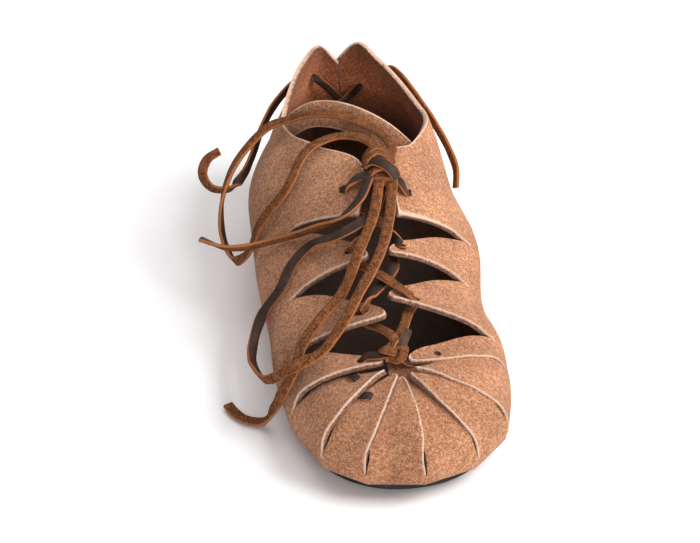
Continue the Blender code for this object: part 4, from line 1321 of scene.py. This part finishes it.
def mark_points(sheet, rows, edges, rims):
    """Store each point's distance from the cut edges and from the rims, and how much dye and painted shade
    darken it.
    """
    points = rows.reshape(-1, 3)
    for name, lines in (("from_cut", edges), ("from_rim", rims)):
        distance = np.full(len(points), FAR_AWAY)
        for line in lines:
            nearest = np.linalg.norm(points[:, None] - line[None], axis=2).min(1)
            distance = np.minimum(distance, nearest)
        store(sheet, name, distance)
    # Patches of dye and of painted shade, darkest at each middle
    grime_and_shade = np.zeros(len(points))
    for middle, radius, strength in GRIME_AND_SHADE:
        reach = np.linalg.norm(points - np.array(middle), axis=1) / radius
        grime_and_shade = np.maximum(grime_and_shade, strength * np.exp(-(reach**2)))
    store(sheet, "soil_and_shade", grime_and_shade)


def shown_edges(index, rows):
    """The edges of a tab that lie over a neighbour, and its tip unless the tab is the lowest one."""
    before, after = CUT[index], CUT[(index + 1) % len(CUT)]
    sides = []
    if before["over"] < 0:
        sides.append(rows[:, 0])
    if after["over"] > 0:
        sides.append(rows[:, -1])
    return sides + [rows[-1]] if sides else []


print("grimy places:", len(GRIME_AND_SHADE))

# %% [markdown]
# ## The hide itself
#
# Each tab starts as a flat grid, as if it were still lying on the cutting table, and its points are
# moved to the places that the wall and tab functions give.  The grids are joined, and the doubled
# points below the cuts are merged, so the leather is one sheet again.

# %% Tabs as grids
COLUMN_STEP = 2.1
FEWEST_COLUMNS = 11
# Even steps up to near the tip, then closer ones for its round corners
TAB_HEIGHTS = np.concatenate([np.linspace(0, 0.955, 34)[1:], (0.976, 0.989, 1.0)])
WELD = 0.02 * MM


def tab_columns(index):
    """Shares of a tab's width for its columns."""
    width = CUT_ALONG[index + 1] - CUT_ALONG[index]
    return np.linspace(0, 1, max(FEWEST_COLUMNS, int(width / COLUMN_STEP)))


def grid_sheet(name, rows):
    """A grid primitive with its points moved to these rows, in shoe millimetres."""
    height, width = rows.shape[:2]
    deselect()
    bpy.ops.mesh.primitive_grid_add(x_subdivisions=width - 1, y_subdivisions=height - 1)
    sheet = bpy.context.object
    sheet.name = name
    sheet.data.vertices.foreach_set("co", in_frame(rows.reshape(-1, 3)).ravel())
    sheet.data.update()
    return sheet


tabs = []
for index, cut in enumerate(CUT):
    share = tab_columns(index)
    base, made = tab_rows(index, share, TAB_HEIGHTS)
    stepped = shingled(index, base, made, share, TAB_HEIGHTS)
    rows = np.concatenate([base, round_tip(index, stepped, share, TAB_HEIGHTS)])
    tab = grid_sheet("tab_" + cut["name"], rows)
    foot = len(base) - 1
    rims = [rows[-1]] if cut["name"] in RIMS else []
    mark_points(tab, rows, shown_edges(index, rows[foot:]), rims)
    tabs.append(tab)

select_only(*tabs)
bpy.ops.object.join()
upper = bpy.context.object
upper.name = "suede_upper"
on_whole_mesh(upper, bpy.ops.mesh.remove_doubles, threshold=WELD)
print("hide:", len(upper.data.vertices), "points")

# %% [markdown]
# ## Creases
#
# Leather that has been folded up keeps soft troughs and ridges.  They are listed one by one: each has a
# middle, a direction, a length, a width and a depth, and moves the points near it along their normals.

# %% Creases
# Columns: middle, direction, half length, half width, depth (negative for a trough)
CREASES = (
    ((-44.0, 30.0, 42.0), (0.2, 1.0, -0.25), 34.0, 7.0, -1.3),
    ((-38.0, 62.0, 55.0), (0.1, 1.0, 0.35), 26.0, 6.0, 1.0),
    ((-36.0, 96.0, 50.0), (0.3, 0.3, 1.0), 22.0, 7.0, -0.9),
    ((-46.0, 0.0, 30.0), (0.0, 1.0, 0.15), 22.0, 5.0, 0.9),
    ((43.0, 30.0, 45.0), (0.0, 1.0, -0.2), 34.0, 8.0, -1.0),
    ((34.0, 84.0, 50.0), (0.2, -0.5, 1.0), 22.0, 7.0, -0.8),
    ((42.0, -30.0, 30.0), (0.0, 1.0, 0.1), 24.0, 5.0, -0.8),
    ((-42.0, -42.0, 26.0), (0.0, 1.0, 0.1), 22.0, 5.0, -0.9),
    ((-24.0, -98.0, 30.0), (-0.5, 0.7, 0.3), 12.0, 4.5, 0.5),
    ((-14.0, -108.0, 27.0), (-0.2, 0.9, 0.5), 13.0, 4.0, 0.6),
    ((0.5, -110.0, 27.0), (0.0, 0.9, 0.5), 13.0, 4.5, 0.6),
    ((14.0, -106.0, 28.0), (0.3, 0.9, 0.5), 13.0, 4.5, -0.5),
    ((28.0, -94.0, 30.0), (0.7, 0.7, 0.3), 14.0, 5.0, 0.5),
    ((-16.0, 112.0, 62.0), (0.1, 0.2, 1.0), 18.0, 6.0, 0.8),
    ((15.0, 114.0, 62.0), (0.1, 0.2, 1.0), 18.0, 6.0, 0.8),
)


def read_all(items, name, kind=float, width=1):
    """One value of every point, face or corner of a mesh, as an array."""
    values = np.empty(len(items) * width, kind)
    items.foreach_get(name, values)
    return values


def crease(piece):
    """Move a sheet's points by all the creases near them, and give how far each one went."""
    mesh = piece.data
    place = read_all(mesh.vertices, "co", width=3).reshape(-1, 3)
    normal = read_all(mesh.vertices, "normal", width=3).reshape(-1, 3)
    move = np.zeros(len(place))
    for middle, way, half_length, half_width, depth in CREASES:
        away = (place - in_frame(middle)) / MM
        along = away @ unit(way)
        across = np.linalg.norm(away - along[:, None] * unit(way), axis=1)
        move += depth * np.exp(-((along / half_length) ** 2) - (across / half_width) ** 2)
    mesh.vertices.foreach_set("co", (place + normal * move[:, None] * MM).ravel())
    mesh.update()
    return move


moved = crease(upper)
print("creases move the hide by", round(moved.min(), 2), "to", round(moved.max(), 2), "mm")

# %% [markdown]
# ## Punched holes
#
# A round punch makes the holes for the thongs.  The faces inside each hole are deleted, and the points
# round it are moved on to a circle, which needs no cutter and keeps the sheet's even grid.

# %% Punched holes
HOLE_RADIUS = 1.8


def punch(piece, centre, out):
    """Delete the faces inside a hole and round the edge that is left."""
    mesh = piece.data
    select_only(piece)
    bpy.ops.object.mode_set(mode="EDIT")
    bpy.ops.mesh.select_mode(type="FACE")
    bpy.ops.mesh.select_all(action="DESELECT")
    bpy.ops.object.mode_set(mode="OBJECT")
    middle = Vector(in_frame(centre))
    reach = HOLE_RADIUS * MM
    rim = set()
    for face in mesh.polygons:
        face.select = (face.center - middle).length < reach
        if face.select:
            rim.update(tuple(mesh.vertices[v].co) for v in face.vertices)
    bpy.ops.object.mode_set(mode="EDIT")
    bpy.ops.mesh.delete(type="FACE")
    bpy.ops.object.mode_set(mode="OBJECT")
    axis = Vector(out)
    moved = 0
    for vertex in mesh.vertices:
        if tuple(vertex.co) in rim:
            away = vertex.co - middle
            height = axis * away.dot(axis)
            flat = away - height
            vertex.co = middle + height + flat.normalized() * reach
            moved += 1
    return moved


rims = [punch(upper, *HOLE_FRAME[name]) for name in HOLE]
print("points round the holes:", rims)

# %% [markdown]
# ## Ankle band
#
# Inside the collar a narrow strap runs from one quarter to the other over the ankle.  It is a strip of
# the same suede, made as one more grid, and it becomes part of the hide's mesh.

# %% Ankle band
BAND_WIDTH = 13.0
BAND_COLUMNS = (-0.5, -0.42, -0.3, -0.15, 0.0, 0.15, 0.3, 0.42, 0.5)
BAND_STEPS = 46
# Columns: x, y, z, tilt in degrees
BAND = (
    (-34.5, 74.0, 59.0, 60),
    (-29.0, 73.0, 67.0, 62),
    (-20.0, 70.0, 74.0, 62),
    (-9.0, 63.5, 77.0, 62),
    (3.0, 55.5, 76.0, 62),
    (14.0, 49.0, 71.5, 62),
    (23.0, 44.0, 64.5, 60),
    (30.0, 41.0, 57.0, 58),
)
band_table = np.array(BAND)
band_line = hermite(np.arange(len(BAND)), band_table, np.linspace(0, len(BAND) - 1, BAND_STEPS))
middle, tilt = band_line[:, :3], np.radians(band_line[:, 3:4])
run = np.gradient(middle, axis=0)
level = unit(np.column_stack([-run[:, 1], run[:, 0], np.zeros(len(run))]))
side = level * np.cos(tilt) + UP * np.sin(tilt)
band_rows = np.stack([middle + side * BAND_WIDTH * share for share in BAND_COLUMNS])
band = grid_sheet("ankle_band", band_rows)
mark_points(band, band_rows, (band_rows[0], band_rows[-1]), (band_rows[0], band_rows[-1]))
print("ankle band, mm:", round(float(lengths_along(middle)[-1]), 1))

# %% [markdown]
# ## Thickness, soft corners and the marks of cutting
#
# Solidify gives the sheet its 2.4 mm and tells its outer side, its inner side and its cut faces apart by
# material numbers.  Those numbers and the stored distances become the colour attribute that the suede
# material reads.  A small Bevel then takes the sharpness off every cut corner.

# %% Solid hide
CORNER = 0.25
CORNER_STEPS = 2
CORNER_ANGLE = math.radians(50)
RUB_REACH = 1.1
ARRIS_RUB = 1.0
ARRIS_REACH = 0.3
RIM_RUB = 0.57
RIM_REACH = 1.5
OUTER, INNER, CUT_FACE = 0, 1, 2


def mark_cuts(mesh):
    """Colour the corners of the faces by the outer side, inner side or cut face that they are on."""
    from_cut = read_all(mesh.attributes["from_cut"].data, "value")
    from_rim = read_all(mesh.attributes["from_rim"].data, "value")
    kinds = read_all(mesh.polygons, "material_index", int)
    points = read_all(mesh.loops, "vertex_index", int)
    kind = np.repeat(kinds, read_all(mesh.polygons, "loop_total", int))
    on_outer = np.zeros(len(mesh.vertices), bool)
    on_outer[points[kind == OUTER]] = True
    rubbed = np.exp(-((from_cut[points] / RUB_REACH) ** 2)) * (kind == OUTER)
    arris = on_outer[points] & (kind == CUT_FACE) & (from_cut[points] < ARRIS_REACH)
    rubbed = np.maximum(rubbed, ARRIS_RUB * arris)
    rubbed = np.maximum(rubbed, RIM_RUB * (from_rim[points] < RIM_REACH) * (kind == CUT_FACE))
    marks = np.column_stack([rubbed, kind == CUT_FACE, kind == INNER, np.ones(len(kind))])
    mesh.color_attributes.new("edge", "FLOAT_COLOR", "CORNER").data.foreach_set("color", marks.ravel())


def apply_modifier(piece, kind, **settings):
    """Add a modifier with these settings to a piece and apply it."""
    select_only(piece)
    modifier = piece.modifiers.new(kind.lower(), kind)
    for name, value in settings.items():
        setattr(modifier, name, value)
    bpy.ops.object.modifier_apply(modifier=modifier.name)


def soften(piece, width, segments):
    """Round a piece's sharp edges with a Bevel."""
    apply_modifier(
        piece, "BEVEL", width=width * MM, segments=segments, limit_method="ANGLE", angle_limit=CORNER_ANGLE
    )


def thicken(piece):
    """Give a sheet of hide its thickness, mark its sides and cut faces, and soften its corners."""
    for _ in (OUTER, INNER, CUT_FACE):
        piece.data.materials.append(suede)
    apply_modifier(
        piece, "SOLIDIFY", thickness=WALL * MM, offset=0.0, material_offset=INNER,
        material_offset_rim=CUT_FACE,
    )
    mark_cuts(piece.data)
    soften(piece, CORNER, CORNER_STEPS)
    bpy.ops.object.shade_smooth()
    piece.data.polygons.foreach_set("material_index", np.zeros(len(piece.data.polygons), int))
    for _ in (INNER, CUT_FACE):
        piece.data.materials.pop()


for sheet in (upper, band):
    thicken(sheet)
select_only(upper, band)
bpy.ops.object.join()
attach(upper, "root")
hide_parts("upper")
print("upper:", sum(len(face.vertices) - 2 for face in upper.data.polygons), "triangles")

# %% [markdown]
# ## Sole and insole
#
# Both are sheets with the fold line's outline, a little smaller, and both bend up at the toe.  A grid is
# stretched until its four sides lie on that outline, then it is thickened and its corners are rounded.

# %% Sole sheets
SOLE_ROWS = 110
SOLE_COLUMNS = 24
OUTSOLE_INSET = 6.0
INSOLE_THICK = 2.0
INSOLE_INSET = 6.6
# Where the corners of the sole's four-sided patch lie, along the outline from the toe or the heel
PATCH_CORNER = 26.0
SOLE_CORNER_STEPS = 3
SOLE_SMOOTH_ANGLE = math.radians(40)
OUTSOLE_CORNER = 0.7
INSOLE_CORNER = 0.5
INSOLE_BOTTOM = OUTSOLE_THICK + WALL + 2 * CLEAR


def sole_plan(inset):
    """Points of a patch whose four sides lie on the outline, from the toe to the heel."""
    along = np.linspace(GIRTH / 2 - PATCH_CORNER, PATCH_CORNER, SOLE_ROWS)
    across = np.linspace(-1, 1, SOLE_COLUMNS)
    left, right = ring_at(along, inset), ring_at(GIRTH - along, inset)
    toe = ring_at(GIRTH / 2 + across * PATCH_CORNER, inset)
    heel = ring_at(-across * PATCH_CORNER, inset)
    share = (across[None, :, None] + 1) / 2
    down = np.linspace(0, 1, SOLE_ROWS)[:, None, None]
    flat = left[:, None] * (1 - share) + right[:, None] * share
    return flat + (1 - down) * (toe - flat[0]) + down * (heel - flat[-1])


def sole_sheet(name, inset, bottom, thickness, corner, material):
    plan = sole_plan(inset)
    height = bottom + sole_lift(plan[..., 1:2])
    sheet = grid_sheet(name, np.concatenate([plan, height], axis=2))
    apply_modifier(sheet, "SOLIDIFY", thickness=thickness * MM, offset=1.0)
    soften(sheet, corner, SOLE_CORNER_STEPS)
    bpy.ops.object.shade_smooth_by_angle(angle=SOLE_SMOOTH_ANGLE)
    sheet.data.materials.append(material)
    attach(sheet, "root")
    print(name, "points:", len(sheet.data.vertices))
    return sheet


sole = sole_sheet("rubber_sole", OUTSOLE_INSET, 0.0, OUTSOLE_THICK, OUTSOLE_CORNER, sole_rubber)
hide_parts("outsole")
footbed = sole_sheet(
    "footbed", INSOLE_INSET, INSOLE_BOTTOM, INSOLE_THICK, INSOLE_CORNER, insole_leather
)
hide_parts("insole")
